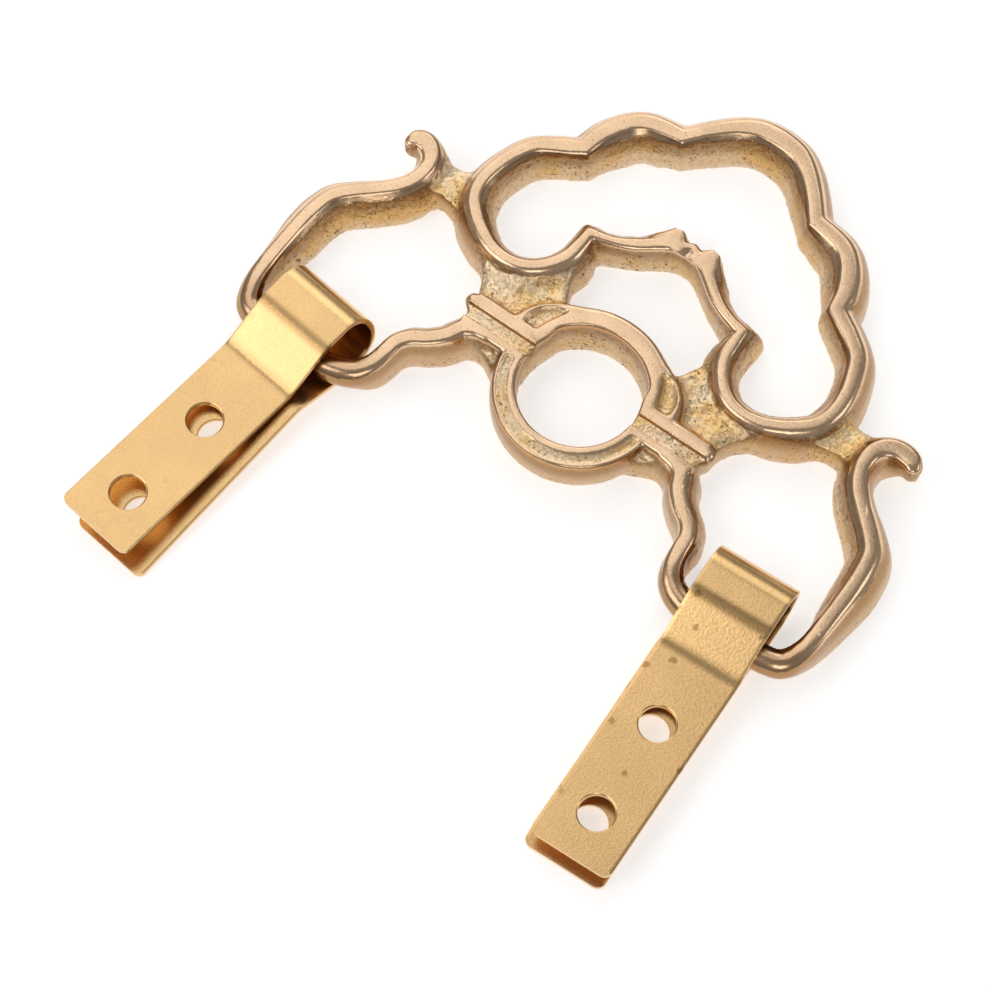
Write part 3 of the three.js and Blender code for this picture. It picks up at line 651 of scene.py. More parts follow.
def cast_band_tree():
    """A cast band: the rib, its margins and its round bar along a path."""
    tree = Tree("Cast band", [("Cast Height", 4.1), ("Bar Radius", 1.2), ("Bar Height", 2.6)])
    sweep = tree.swept()
    hand, bar, radius = tree.named("hand"), tree.named("bar"), tree.given["Bar Radius"]
    facing = tree.math("GREATER_THAN", hand, 0.0)
    margin = tree.blend(facing, tree.named("right"), tree.named("left"))
    rib = tree.times(tree.named("rib_share"), tree.named("rib_half"))
    body = tree.times(tree.named("margin_share"), margin)
    out = tree.plus(tree.plus(rib, body), tree.named("offset"))
    out = tree.times(tree.math("MAXIMUM", out, 0.0), hand)
    soft = tree.blend(facing, tree.named("soft_right"), tree.named("soft_left"))
    rise = tree.plus(tree.blend(soft, tree.named("rise"), tree.named("round_rise")),
                     tree.times(tree.named("from_top"), tree.given["Cast Height"]))
    round_out = tree.times(tree.named("round_out"), radius)
    round_up = tree.plus(tree.times(tree.named("round_up"), radius), tree.given["Bar Height"])
    out = tree.times(tree.blend(bar, out, round_out), tree.named("narrow"))
    return tree.finish(sweep, "across", out, {2: tree.blend(bar, rise, round_up)})


def folded_strip_tree():
    """A strip of sheet that follows its folded middle line."""
    tree = Tree("Folded strip", [("Half Width", 3.65), ("Half Sheet", 0.25)])
    sweep = tree.swept()
    side = tree.plus(tree.times(tree.named("side_share"), tree.given["Half Width"]),
                     tree.plus(tree.named("side_offset"), tree.named("drift")))
    out = tree.plus(tree.times(tree.named("face_share"), tree.given["Half Sheet"]),
                    tree.named("face_offset"))
    return tree.finish(sweep, "normal_out", out, {0: side})


def run_tree(obj, group, values, name):
    """Sets a tree's inputs by identifier, runs it on obj and gives back a plain mesh object."""
    modifier = obj.modifiers.new("Shape", "NODES")
    modifier.node_group = group
    for item in group.interface.items_tree:
        if item.in_out == "INPUT" and item.name in values:
            modifier[item.identifier] = values[item.name]
    return settled(obj, name)


SECTION_MEASURES = ("hand", "rib_share", "margin_share", "offset", "from_top", "rise",
                    "round_rise")
PATH_MEASURES = ("rib_half", "left", "right", "narrow", "bar", "soft_left", "soft_right")
STRIP_MEASURES = ("side_share", "face_share", "side_offset", "face_offset")


def closed_edges(count):
    return [(i, (i + 1) % count) for i in range(count)]


def section_object(name, left, right):
    """A closed section as edges, up its left side and down its right."""
    rows = [(1, *point) for point in left] + [(-1, *point) for point in reversed(right)]
    count = len(rows)
    obj = mesh_object(name, [(row[0], row[5], 0) for row in rows], closed_edges(count))
    set_table(obj.data, SECTION_MEASURES, rows)
    turn = (np.arange(count) + 0.5) / count * 2 * math.pi - math.pi / 2
    set_measure(obj.data, "round_out", np.cos(turn))
    set_measure(obj.data, "round_up", np.sin(turn))
    return obj


def path_object(name, runs):
    """Paths as edges. A run is (points, closed, measures of each point)."""
    vertices, edges, across, table = [], [], [], []
    for points, closed, values in runs:
        first, count = len(vertices), len(points)
        vertices += [(x, y, 0) for x, y in points]
        edges += [(first + i, first + i + 1) for i in range(count - 1)]
        if closed:
            edges.append((first + count - 1, first))
        across += [(x, y, 0) for x, y in across_of(points, closed)]
        table += list(values)
    obj = mesh_object(name, vertices, edges)
    set_table(obj.data, PATH_MEASURES, table)
    set_measure(obj.data, "centre", vertices, "FLOAT_VECTOR")
    set_measure(obj.data, "across", across, "FLOAT_VECTOR")
    return obj


def measured(count, *columns):
    """A row of measures for each point, from columns that may be one number."""
    return np.stack([np.broadcast_to(column, count).astype(float) for column in columns], 1)


def shell_run(s):
    points, values = [], []
    for number, span in enumerate(SHELL_SPANS):
        corners = in_plan(s, [row[:2] for row in span])
        t = even_steps(corners, PATH_STEP)
        rows = row_at(span, t)
        skip = 1 if number else 0
        points += centripetal(corners, t)[skip:].tolist()
        values += measured(len(t), rows[:, 2] * s["widest_rib"], rows[:, 3] * s["outer_margin"],
                           rows[:, 4] * s["opening_margin"], 1, 0, 1, 0)[skip:].tolist()
    mirrored = [(-x, y) for x, y in points[1:-1]][::-1]
    return points + mirrored, True, values + values[1:-1][::-1]


def loop_run(s, side):
    corners = np.array([(x * s["half_span"], y * (s["bar_below"] if y < 0 else s["shell_rise"]))
                        for x, y, *_ in LOOP_ROWS])
    corners[:4, 0] += side * FINIAL_LEAN * np.array([1, 0.8, 0.5, 0.2])
    t = even_steps(corners, PATH_STEP)
    rows = row_at(LOOP_ROWS, t)
    outer, opening = rows[:, 4] * s["outer_margin"], rows[:, 5] * s["loop_margin"]
    margins, soft = ((outer, opening), (1, 0)) if side > 0 else ((opening, outer), (0, 1))
    values = measured(len(t), s["loop_rib"], *margins, rows[:, 2], rows[:, 3], *soft)
    return (centripetal(corners, t) * [side, 1]).tolist(), False, values


def tooth_run(s, side):
    corners = in_plan(s, [row[:2] for row in TOOTH_ROWS], side)
    t = np.linspace(0, 1, TOOTH_STEPS)
    narrow = row_at(TOOTH_ROWS, t)[:, 2]
    values = measured(len(t), TOOTH_HALF, 1, 1, narrow, 0, 0.5, 0.5)
    return centripetal(corners, t).tolist(), False, values


def collar_runs(side):
    """The collar's upper and lower bars."""
    xs = [side * x for x in np.linspace(*COLLAR_REACH, COLLAR_STEPS)]
    return [([(x, y) for x in xs], False, measured(len(xs), half, 0.5, 0.5, 1, 0, 0, 0))
            for y, half in COLLAR_BARS]


def ring_run(s):
    """The middle of the ring's channel, below the arch."""
    turn = np.radians(np.linspace(-181, 1, ARC_STEPS))
    points = np.stack([np.cos(turn), np.sin(turn)], 1) * (s["bore_radius"] + RING_CHANNEL)
    return points.tolist(), False, measured(len(turn), 0, 0, 0, 1, 0, 0, 0)


def arch_run(s):
    """The broad ribbon over the ring, which flares towards its feet."""
    turn = np.radians(np.linspace(-1, 181, ARC_STEPS))
    flare = smooth_share(np.abs(np.linspace(-1, 1, ARC_STEPS)), *ARCH_FLARE)
    inner = s["bore_back"] - ARCH_INSET
    outer = s["bore_radius"] + ARCH_BREADTH + flare
    middle, half = (inner + outer) / 2, (outer - inner) / 2
    points = np.stack([np.cos(turn) * middle, np.sin(turn) * middle], 1)
    return points.tolist(), False, measured(len(turn), half, 0, 0.6, 1, 0, 0, 0.6)


def nub(s, side):
    """The rounded end of a collar."""
    radius, middle = NUB["radius"], s["cast_height"] - NUB["depth"]
    profile = [(radius * math.sin(a), middle - radius * math.cos(a))
               for a in np.linspace(0, math.pi, 13)]
    return turned_at("nub", side * NUB["x"], NUB["y"], profile)


def finial_tip(s, side):
    """The round-topped end of a finial, as a post from the back."""
    x, y = LOOP_ROWS[0][:2]
    top, radius = s["cast_height"] - FINIAL_TIP["depth"], FINIAL_TIP["radius"]
    profile = [(0, 0), (radius - 0.2, 0), (radius, 0.2)]
    profile += [(radius * math.cos(a), top - radius + radius * math.sin(a))
                for a in np.linspace(0, math.pi / 2, 8)[:-1]]
    return turned_at("finial_tip", side * (x * s["half_span"] - FINIAL_TIP["inset"]) + FINIAL_LEAN,
                     y * s["shell_rise"], profile + [(0, top)])


def casting_solid(s, material):
    """Every band and web of the casting as overlapping closed shells, in millimetres."""
    top = s["cast_height"]
    band = section_object("band_section", BAND_HALF, BAND_HALF)
    ring = section_object("ring_section", *(
        [(0, 0, out, from_top, rise, rise) for out, from_top, rise in rows]
        for rows in (RING_INNER, RING_OUTER)))
    group = cast_band_tree()
    sizes = {"Cast Height": top, "Bar Radius": s["bar_radius"], "Bar Height": s["bar_height"],
             "Material": material}
    runs = [shell_run(s), arch_run(s)]
    for side in (-1, 1):
        runs += [loop_run(s, side), tooth_run(s, side), *collar_runs(side)]
    parts = [run_tree(path_object(name + "_path", paths), group, {**sizes, "Section": section},
                      name)
             for name, paths, section in (("bands", runs, band), ("ring", [ring_run(s)], ring))]
    for side in (-1, 1):
        parts += [prism("web", in_plan(s, outline, side), 0, top - WEB_DEPTH) for outline in WEBS]
        parts += [nub(s, side), finial_tip(s, side)]
        ground = rectangle([side * x for x in COLLAR_REACH], COLLAR_GROUND)
        parts.append(prism("collar_ground", ground, 0, top - GROUND_DEPTH))
    drop(band)
    drop(ring)
    return joined(parts, "casting_raw")


def neighbours(mesh):
    pairs = np.empty(len(mesh.edges) * 2, np.int64)
    mesh.edges.foreach_get("vertices", pairs)
    return pairs.reshape(-1, 2)


def neighbour_mean(values, pairs):
    count = len(values)
    a, b = pairs.T
    total = np.stack([np.bincount(a, column[b], count) + np.bincount(b, column[a], count)
                      for column in values.T], 1)
    return total / np.maximum(np.bincount(pairs.ravel(), minlength=count), 1)[:, None]


def eased(values, pairs, passes, weight=1.0, factors=(0.5,)):
    """Values drawn towards their neighbours' mean; a negative factor undoes the shrinking."""
    for _ in range(passes):
        for factor in factors:
            values = values + (neighbour_mean(values, pairs) - values) * factor * weight
    return values


def outline_distance(x, y, outline):
    """Signed distance from plan points to a closed outline: negative inside."""
    best = np.full(x.shape, 1e9)
    inside = np.zeros(x.shape, bool)
    for (x0, y0), (x1, y1) in zip(outline, outline[1:] + outline[:1]):
        dx, dy = x1 - x0, y1 - y0
        t = np.clip(((x - x0) * dx + (y - y0) * dy) / (dx * dx + dy * dy), 0, 1)
        best = np.minimum(best, np.hypot(x - x0 - t * dx, y - y0 - t * dy))
        if dy:
            inside ^= ((y0 > y) != (y1 > y)) & (x < x0 + (y - y0) / dy * dx)
    return np.where(inside, -best, best)


def pocket_shares(points, s):
    """How far each point lies in a leaf recess and in a collar's channel, 0 to 1, in plan."""
    x, y = np.abs(points[:, 0]), points[:, 1]
    leaf = outline_distance(x, y, in_plan(s, LEAF))
    channel = outline_distance(x, y, rectangle(CHANNEL_DULL_REACH, COLLAR_CHANNEL))
    return 1 - smooth_share(leaf, *LEAF_EDGE), 1 - smooth_share(channel, *CHANNEL_EDGE)


def web_distance(points, s):
    """Plan distance to the nearest web: negative inside."""
    x, y = np.abs(points[:, 0]), points[:, 1]
    return np.min([outline_distance(x, y, in_plan(s, outline)) for outline in WEBS], 0)


def bore_cutter(s):
    """The ring's bore as a body: wider to the front, and wider again under the arch."""
    top = s["cast_height"]
    turn = np.linspace(0, 2 * math.pi, BORE_STEPS, endpoint=False)
    arch = smooth_share(np.degrees(np.arcsin(np.sin(turn))), *ARCH_BORE_TURN)
    back = s["bore_back"] + (s["arch_bore_back"] - s["bore_back"]) * arch
    front = s["bore_radius"] + (s["arch_bore"] - s["bore_radius"]) * arch
    levels = [(back, -BORE_CLEAR), (back, 0.0)]
    levels += [(front + wider, top + rise) for wider, rise in BORE_EDGE]
    rings = [[(r * math.cos(a), r * math.sin(a), height) for r, a in zip(radius, turn)]
             for radius, height in levels]
    vertices, faces = turned_body((-BORE_CLEAR, top + BORE_EDGE[-1][1]), rings)
    return joined([mesh_object("bore_cutter", vertices, faces=faces)], "bore_cutter")


def casting_cutters(s):
    """The bore, the wider bore under the arch, the leaf recesses and the collars' channels."""
    low, high = s["cast_height"] - RECESS_DEPTH, s["cast_height"] + RECESS_CLEAR
    found = [bore_cutter(s)]
    for side in (-1, 1):
        found.append(cutter("leaf", in_plan(s, LEAF, side), low, high, LEAF_DRAFT))
        channel = rectangle([side * x for x in CHANNEL_REACH], COLLAR_CHANNEL)
        found.append(cutter("channel", channel, low, high, CHANNEL_DRAFT))
    return found


def cut_with(obj, cutters, name):
    for body in cutters:
        modifier = obj.modifiers.new("Cut", "BOOLEAN")
        modifier.operation = "DIFFERENCE"
        modifier.solver = "MANIFOLD"
        modifier.object = body
    result = settled(obj, name)
    for body in cutters:
        drop(body)
    return result


def without_slivers(obj, shortest):
    """Collapses the edges and triangles that a cut leaves too small to keep."""
    work = bmesh.new()
    work.from_mesh(obj.data)
    bmesh.ops.remove_doubles(work, verts=work.verts, dist=shortest)
    bmesh.ops.dissolve_degenerate(work, dist=shortest, edges=work.edges)
    bmesh.ops.triangulate(work, faces=[face for face in work.faces if len(face.verts) > 4])
    work.to_mesh(obj.data)
    work.free()
    return obj


def noise_field(points, scale, seed, octaves=3):
    shift = Vector((seed * 7.31, seed * 3.77, seed * 5.13))
    return np.array([noise.fractal(Vector(p) * scale + shift, 1.0, 2.0, octaves)
                     for p in points.tolist()])


def band_places(points, s):
    """How far each point lies outwards from the nearest shell or loop rib, and that rib's
    half-width."""
    ribs = []
    for run, hand in ((shell_run(s), 1), (loop_run(s, 1), 1), (loop_run(s, -1), -1)):
        for (x, y), way, values in zip(run[0], across_of(run[0], run[1]) * hand, run[2]):
            ribs.append((x, y, *(way / np.linalg.norm(way)), values[0]))
    tree = kdtree.KDTree(len(ribs))
    for index, (x, y, *_) in enumerate(ribs):
        tree.insert((x, y, 0), index)
    tree.balance()
    side, half = np.zeros(len(points)), np.zeros(len(points))
    for i, (x, y, _) in enumerate(points.tolist()):
        at, index, _ = tree.find((x, y, 0))
        _, _, across_x, across_y, half[i] = ribs[index]
        side[i] = (x - at[0]) * across_x + (y - at[1]) * across_y
    return side, half


def outward_share(points, places, s):
    """How far each point lies on the smooth outer side of the shell, a loop or the ring."""
    side, half = places
    x, y = points[:, 0], points[:, 1]
    radius, web = np.hypot(x, y), web_distance(points, s)
    notch = (1 - smooth_share(np.abs(x), *NOTCH_SIDE)) * (1 - smooth_share(y, *NOTCH_TOP))
    notch = notch * smooth_share(y, *NOTCH_FOOT)
    side = smooth_share(side / half, *OUTER_SIDE) * smooth_share(web, *CLEAR_OF_WEB)
    side = side * smooth_share(radius, *CLEAR_OF_RING)
    ring = smooth_share(radius, *RING_WALL) * (1 - smooth_share(radius, *RING_END))
    ring = ring * smooth_share(web, *RING_BESIDE_WEB)
    return np.maximum(side * (1 - notch), ring * smooth_share(-y, *RING_UNDER_ARCH))


def below_tops(s, depths):
    return [s["cast_height"] - depth for depth in depths]


def rounded(mesh, s):
    """The fused surface smoothed below the ribs, most beside the webs, and how low it lies."""
    pairs = neighbours(mesh)
    points = eased(vertex_values(mesh, "co"), pairs, PASSES["all"], factors=KEEP_SIZE)
    low = 1 - smooth_share(points[:, 2], *below_tops(s, RIB_DEPTHS))
    points = eased(points, pairs, PASSES["walls"], low[:, None])
    near_web = 1 - smooth_share(web_distance(points, s), *WEB_FILLET)
    points = eased(points, pairs, PASSES["web_edges"], (low * near_web)[:, None])
    leaf, _ = pocket_shares(points, s)
    points = eased(points, pairs, PASSES["leaves"], leaf[:, None])
    return eased(points, pairs, PASSES["last"], factors=KEEP_SIZE), low


def roughened(points, normals, low, s):
    """Moves the surface as sand leaves it, and raises the underside at the finials' tips."""
    up, z = normals[:, 2], points[:, 2]
    wall = noise_field(points, 0.8, 1) * WALL_COARSE + noise_field(points, 3.0, 2) * WALL_FINE
    web = noise_field(points, 0.6, 3) * WEB_ROUGH
    flat = smooth_share(up, *FACING_UP) * (1 - smooth_share(z, *WEB_HIGH))
    flat *= smooth_share(z, *WEB_LOW)
    back = smooth_share(-up, *FACING_BACK)
    outer = outward_share(points, band_places(points, s), s)
    lift = (wall + web * flat) * low
    lift = lift * (1 - SMOOTHER_SHARE * back) * (1 - SMOOTHER_SHARE * outer)
    rib = (1 - low) * noise_field(points, 0.5, 4, 2) * RIB_ROUGH
    lift += rib * (1 - smooth_share(up, *TOP_FACE))
    points = points + normals * lift[:, None]
    for side in (-1, 1):
        tip_x = side * LOOP_ROWS[0][0] * s["half_span"] + FINIAL_LEAN
        tip_y = LOOP_ROWS[0][1] * s["shell_rise"]
        reach = np.hypot(points[:, 0] - tip_x, points[:, 1] - tip_y)
        raised = FINIAL_TAPER * (1 - smooth_share(reach, *TAPER_REACH))
        points[:, 2] = raised + points[:, 2] * (1 - raised / s["cast_height"])
    return points


def casting_surface(obj, s):
    """Fuses the shells, rounds what a mould rounds and roughens what sand leaves rough."""
    obj = with_modifier(obj, "casting_fused", "REMESH", mode="VOXEL", voxel_size=s["voxel"])
    obj = cut_with(obj, casting_cutters(s), "casting_bored")
    obj = with_modifier(obj, "casting_even", "REMESH", mode="VOXEL", voxel_size=s["voxel"])
    mesh = obj.data
    points, low = rounded(mesh, s)
    set_coordinates(mesh, points)
    set_coordinates(mesh, roughened(points, vertex_values(mesh, "normal"), low, s))
    share = min(1.0, MOST_TRIANGLES / (2.0 * len(mesh.polygons)))
    return with_modifier(obj, "hanger_casting_cast", "DECIMATE", decimate_type="COLLAPSE",
                         ratio=share)


def casting_measures(mesh, s):
    """Attributes that the cast brass reads: polish, hollow, ridge, and the painted shade and floor
    reflection on the walls.
    """
    points, normals = vertex_values(mesh, "co"), vertex_values(mesh, "normal")
    pairs = neighbours(mesh)
    z = points[:, 2]
    span = np.linalg.norm(points[pairs[:, 0]] - points[pairs[:, 1]], axis=1).mean()
    bend = ((neighbour_mean(points, pairs) - points) * normals).sum(1) / span
    bend = eased(bend[:, None], pairs, PASSES["bend"])[:, 0]
    leaf, channel = pocket_shares(points, s)
    rib = smooth_share(z, *below_tops(s, TUMBLED_DEPTHS))
    rib = rib * (1 - POCKET_DULL * leaf) * (1 - POCKET_DULL * channel)
    radius = np.hypot(points[:, 0], points[:, 1])
    groove = smooth_share(-np.abs(radius - s["bore_radius"] - RING_CHANNEL), *GROOVE_EDGE)
    rib *= 1 - groove * smooth_share(-points[:, 1], *GROOVE_START)
    below = np.hypot(points[:, 1] + s["bar_below"], z - s["bar_height"])
    bar = (1 - smooth_share(below, *BAR_POLISH)) * smooth_share(np.abs(points[:, 0]), *BAR_SPAN)
    side, half = places = band_places(points, s)
    foot, added = OUTER_POLISH
    outer = outward_share(points, places, s) * (foot + added * smooth_share(z, *OUTER_RISE))
    steep = 1 - smooth_share(np.abs(normals[:, 2]), *STEEP)
    # Painted shade: a thin dark line just beyond the rib's inner edge, where the fine groove lies
    # in shade.
    beyond, breadth = EDGE_LINE
    edge = np.exp(-((-side - half - beyond) / breadth) ** 2)
    edge = edge * smooth_share(z, *below_tops(s, EDGE_DEPTHS))
    found = {
        "polish": np.clip(np.maximum(np.maximum(rib, bar), outer), 0, 1),
        # How concave the surface is: painted shade darkens these places, and the crust's pits
        # gather there.
        "hollow": np.clip(bend * BEND_GAIN, 0, 1),
        # How convex the surface is, where a highlight is painted.
        "ridge": np.clip(-bend * BEND_GAIN, 0, 1),
        # The round bars' surface, painted darker brown.
        "bar_darkening": bar * smooth_share(below, *BAR_DARKENING),
        "edge": edge * (radius > RING_ZONE),
        # Steep faces below the ribs' tops: painted shade goes there, and the pebble pattern.
        "wall": steep * (1 - smooth_share(z, *WALL_TOP)),
        # Painted reflection of the floor, low on the steep walls.
        "foot": steep * (1 - smooth_share(z, *WALL_FOOT)),
        "shade": steep * smooth_share(z, *SHADE_START) * (1 - smooth_share(z, *SHADE_END)),
        # Painted shade: the steep band just below the ribs' tops, on the inner sides and the ring.
        "bevel_shade": steep * smooth_share(z, *BEVEL_FOOT) * ((side < 0) | (radius < RING_ZONE)),
    }
    for name, values in found.items():
        set_measure(mesh, name, values)


def filled(points, step):
    """Points with more set between wherever two lie further apart than a step."""
    result = [points[0]]
    for before, after in zip(points, points[1:]):
        count = max(1, int(math.ceil(np.linalg.norm(after - before) / step)))
        result += [before + (after - before) * k / count for k in range(1, count + 1)]
    return result


def loop_middle(s):
    return s["loop_radius"] - s["sheet"] / 2


def strap_reach(s):
    return s["loop_top"] + s["neck"] + s["leg"]


def strip_line(s, back_extra):
    """Middle line of the folded strip, side on: free end, crease, crease, loop and back again."""
    radius = loop_middle(s)
    leg_x = s["loop_top"] + s["neck"]
    end = np.array([leg_x + s["leg"], (s["gap_at_end"] + s["sheet"]) / 2])
    second = np.array([leg_x, (s["gap_at_crease"] + s["sheet"]) / 2])
    first = np.array([s["loop_top"], radius])
    top = np.array([0.0, radius])
    front = [end]
    for before, corner, after in ((end, second, first), (second, first, top)):
        start, finish = (
            corner + (other - corner) / np.linalg.norm(other - corner) * s["crease_softness"]
            for other in (before, after))
        front += [start * (1 - t) ** 2 + corner * 2 * t * (1 - t) + finish * t * t
                  for t in np.linspace(0, 1, CREASE_STEPS)]
    front = filled(front, STRIP_STEP)
    back = [np.array([x, -z]) for x, z in front][::-1]
    back[-1][0] += back_extra
    turn = np.linspace(math.pi / 2, 3 * math.pi / 2, LOOP_STEPS)
    loop = [np.array([radius * math.cos(a), radius * math.sin(a)]) for a in turn]
    return front + loop + back


def drift_at(s, spec, x, z):
    """Sideways drift of the strip: none in the front leg, more and more along the rear one."""
    if x > 0:
        further = (spec["end_drift"] - spec["fold_drift"]) * x / strap_reach(s)
        return 0.0 if z > 0 else spec["fold_drift"] + further
    radius = loop_middle(s)
    return spec["fold_drift"] * smooth_share(-z, -radius, radius)


def strip_section(s):
    """The sheet's section as edges, its four long edges rounded."""
    rows = []
    for side, face in ((1, 1), (-1, 1), (-1, -1), (1, -1)):
        corner = [(side, face, -side * SHEET_EDGE * (1 - math.cos(a)),
                   -face * SHEET_EDGE * (1 - math.sin(a))) for a in np.linspace(0, math.pi / 2, 4)]
        rows += corner if side * face > 0 else corner[::-1]
        if side == face:
            rows += [(side * share, face, 0, 0) for share in np.linspace(1, -1, 24)[1:-1]]
    half, thick = s["width"] / 2, s["sheet"] / 2
    section = mesh_object("strip_section", [(across * half + out, face * thick + up, 0)
                                            for across, face, out, up in rows],
                          closed_edges(len(rows)))
    set_table(section.data, STRIP_MEASURES, rows)
    return section


def strip_object(s, spec, material):
    line = strip_line(s, spec["back_extra"])
    points = [(0.0, -x, z) for x, z in line]
    obj = mesh_object("strip_path", points, [(i, i + 1) for i in range(len(points) - 1)])
    normals = []
    for i in range(len(line)):
        along = line[min(i + 1, len(line) - 1)] - line[max(i - 1, 0)]
        along = along / np.linalg.norm(along)
        normals.append((0.0, -along[1], -along[0]))
    set_measure(obj.data, "centre", points, "FLOAT_VECTOR")
    set_measure(obj.data, "normal_out", normals, "FLOAT_VECTOR")
    set_measure(obj.data, "drift", [drift_at(s, spec, x, z) for x, z in line])
    section = strip_section(s)
    made = run_tree(obj, folded_strip_tree(), {
        "Section": section, "Half Width": s["width"] / 2, "Half Sheet": s["sheet"] / 2,
        "Material": material}, "strip")
    drop(section)
    return joined([made], "strip")


def hole_cutter(s, place):
    """A screw hole through one leg, with the burr and the rounding of a punched edge."""
    edge = [(s["hole_radius"] + wide, face * s["sheet"] / 2 + off)
            for wide, face, off in HOLE_EDGE]
    vertices, faces = lathe([(0, edge[0][1]), *edge, (0, edge[-1][1])], HOLE_FACETS)
    return joined([mesh_object("hole_cutter", [place @ Vector(v) for v in vertices],
                               faces=faces)], "hole_cutter")


def leg_cutters(s, spec, face):
    """The screw holes and the free end's corners of one leg, as cutters."""
    extra = 0.0 if face > 0 else spec["back_extra"]
    end_x = strap_reach(s) + extra
    at_end = (s["gap_at_end"] + s["sheet"]) / 2
    slope = math.atan2((s["gap_at_end"] - s["gap_at_crease"]) / 2, s["leg"] + extra)
    cutters = []
    for i in range(2):
        from_end = s["hole_from_end"] + i * s["hole_pitch"]
        place = Matrix.Translation((drift_at(s, spec, end_x - from_end, face), from_end - end_x,
                                    face * (at_end - from_end * math.tan(slope))))
        place = place @ Matrix.Rotation(-face * slope, 4, "X")
        if face < 0:
            place = place @ Matrix.Rotation(math.pi, 4, "X")
        cutters.append(hole_cutter(s, place))
    edge, c = s["width"] / 2, s["corner_radius"]
    outline = [(edge - c, -end_x - CORNER_CLEAR), (edge - c, -end_x)]
    outline += [(edge - c + c * math.sin(a), -end_x + c - c * math.cos(a))
                for a in np.linspace(0, math.pi / 2, CORNER_STEPS)[1:]]
    outline += [(edge + CORNER_CLEAR, -end_x + c), (edge + CORNER_CLEAR, -end_x - CORNER_CLEAR)]
    drift = drift_at(s, spec, end_x, face)
    low, high = (0.0, at_end + LEG_CLEAR) if face > 0 else (-at_end - LEG_CLEAR, 0.0)
    for side in (-1, 1):
        cutters.append(cutter("corner_cutter", [(side * x + drift, y) for x, y in outline],
                              low, high))
    return cutters


def strap_place(s, spec, c):
    """Where a strap hangs: turned in plan and leant until its front leg lies flat."""
    lean = math.atan2(s["loop_radius"] - s["gap_at_end"] / 2 - s["sheet"],
                      s["neck"] + s["leg"] + spec["back_extra"])
    radius = loop_middle(s)
    fall = (radius - (s["gap_at_crease"] + s["sheet"]) / 2) / s["neck"]
    clear = c["bar_radius"] + spec["gap"] + s["sheet"] / 2
    to_bar = (s["loop_top"] + (radius - clear * math.hypot(1, fall)) / fall) * math.cos(lean)
    turn = math.radians(-spec["yaw"])
    x = spec["side"] * spec["place"] * c["half_span"] - to_bar * math.sin(turn)
    y = to_bar * math.cos(turn) - c["bar_below"] + c["ring_centre"]
    return (Matrix.Translation((x, y, 0.0)) @ Matrix.Rotation(turn, 4, "Z")
            @ Matrix.Rotation(lean, 4, "X"))


def strap_measures(mesh, s, spec):
    """Attributes that the sheet brass reads, and gives back the strap's points."""
    points = vertex_values(mesh, "co")
    reach, z = -points[:, 1], points[:, 2]
    radius = np.hypot(np.minimum(reach, 0), z)
    # The loop's inner face, which the sheet brass paints darker.
    inner = (reach < 0) & (radius < s["loop_radius"] - s["sheet"] * LOOP_INSIDE)
    # Painted shade: dark lines across the front at the creases.
    lines = sum(strength * np.exp(-((reach - s["loop_top"] - crease * s["neck"] - beyond)
                                    / breadth) ** 2)
                for crease, beyond, breadth, strength in CREASE_SHADE_LINES)
    set_measure(mesh, "crease_shade", np.clip(lines, 0, 1) * (z > 0))
    set_measure(mesh, "inside", inner)
    set_measure(mesh, "spotted", np.full(len(points), spec["spotted"]))
    return points


class Shader(Nodes):
    """A material and the steps that its layers are made of."""

    def __init__(self, name):
        self.material = bpy.data.materials.new(name)
        self.material.use_nodes = True
        super().__init__(self.material.node_tree)
        self.surface = self.nodes["Principled BSDF"].inputs

    def attribute(self, name):
        return self.node("ShaderNodeAttribute", attribute_name=name).outputs["Fac"]

    def ramp(self, value, low, high):
        return self.node("ShaderNodeMapRange", {0: value, 1: low, 2: high, 3: 0.0, 4: 1.0},
                         interpolation_type="SMOOTHSTEP").outputs[0]

    def mix(self, share, a, b):
        return self.node("ShaderNodeMix", {0: share, 6: a, 7: b}, data_type="RGBA").outputs[2]

    def over(self, base, paint, *shares):
        """A colour laid over the base as strongly as the product of the shares."""
        share = shares[0]
        for other in shares[1:]:
            share = self.times(share, other)
        return self.mix(share, base, paint)

    def noise(self, vector, scale, detail=3.0, roughness=0.55, output="Fac"):
        return self.node("ShaderNodeTexNoise", {
            "Vector": vector, "Scale": scale, "Detail": detail,
            "Roughness": roughness}).outputs[output]

    def finish(self, sockets, bump=None):
        """Sets the surface's own sockets and gives the material back."""
        for name, value in sockets.items():
            self.give(self.surface[name], value)
        if bump:
            self.give(self.surface["Normal"], self.node("ShaderNodeBump", bump).outputs[0])
        return self.material


def tone(value, share=1.0):
    return (value[0] * share, value[1] * share, value[2] * share, 1.0)


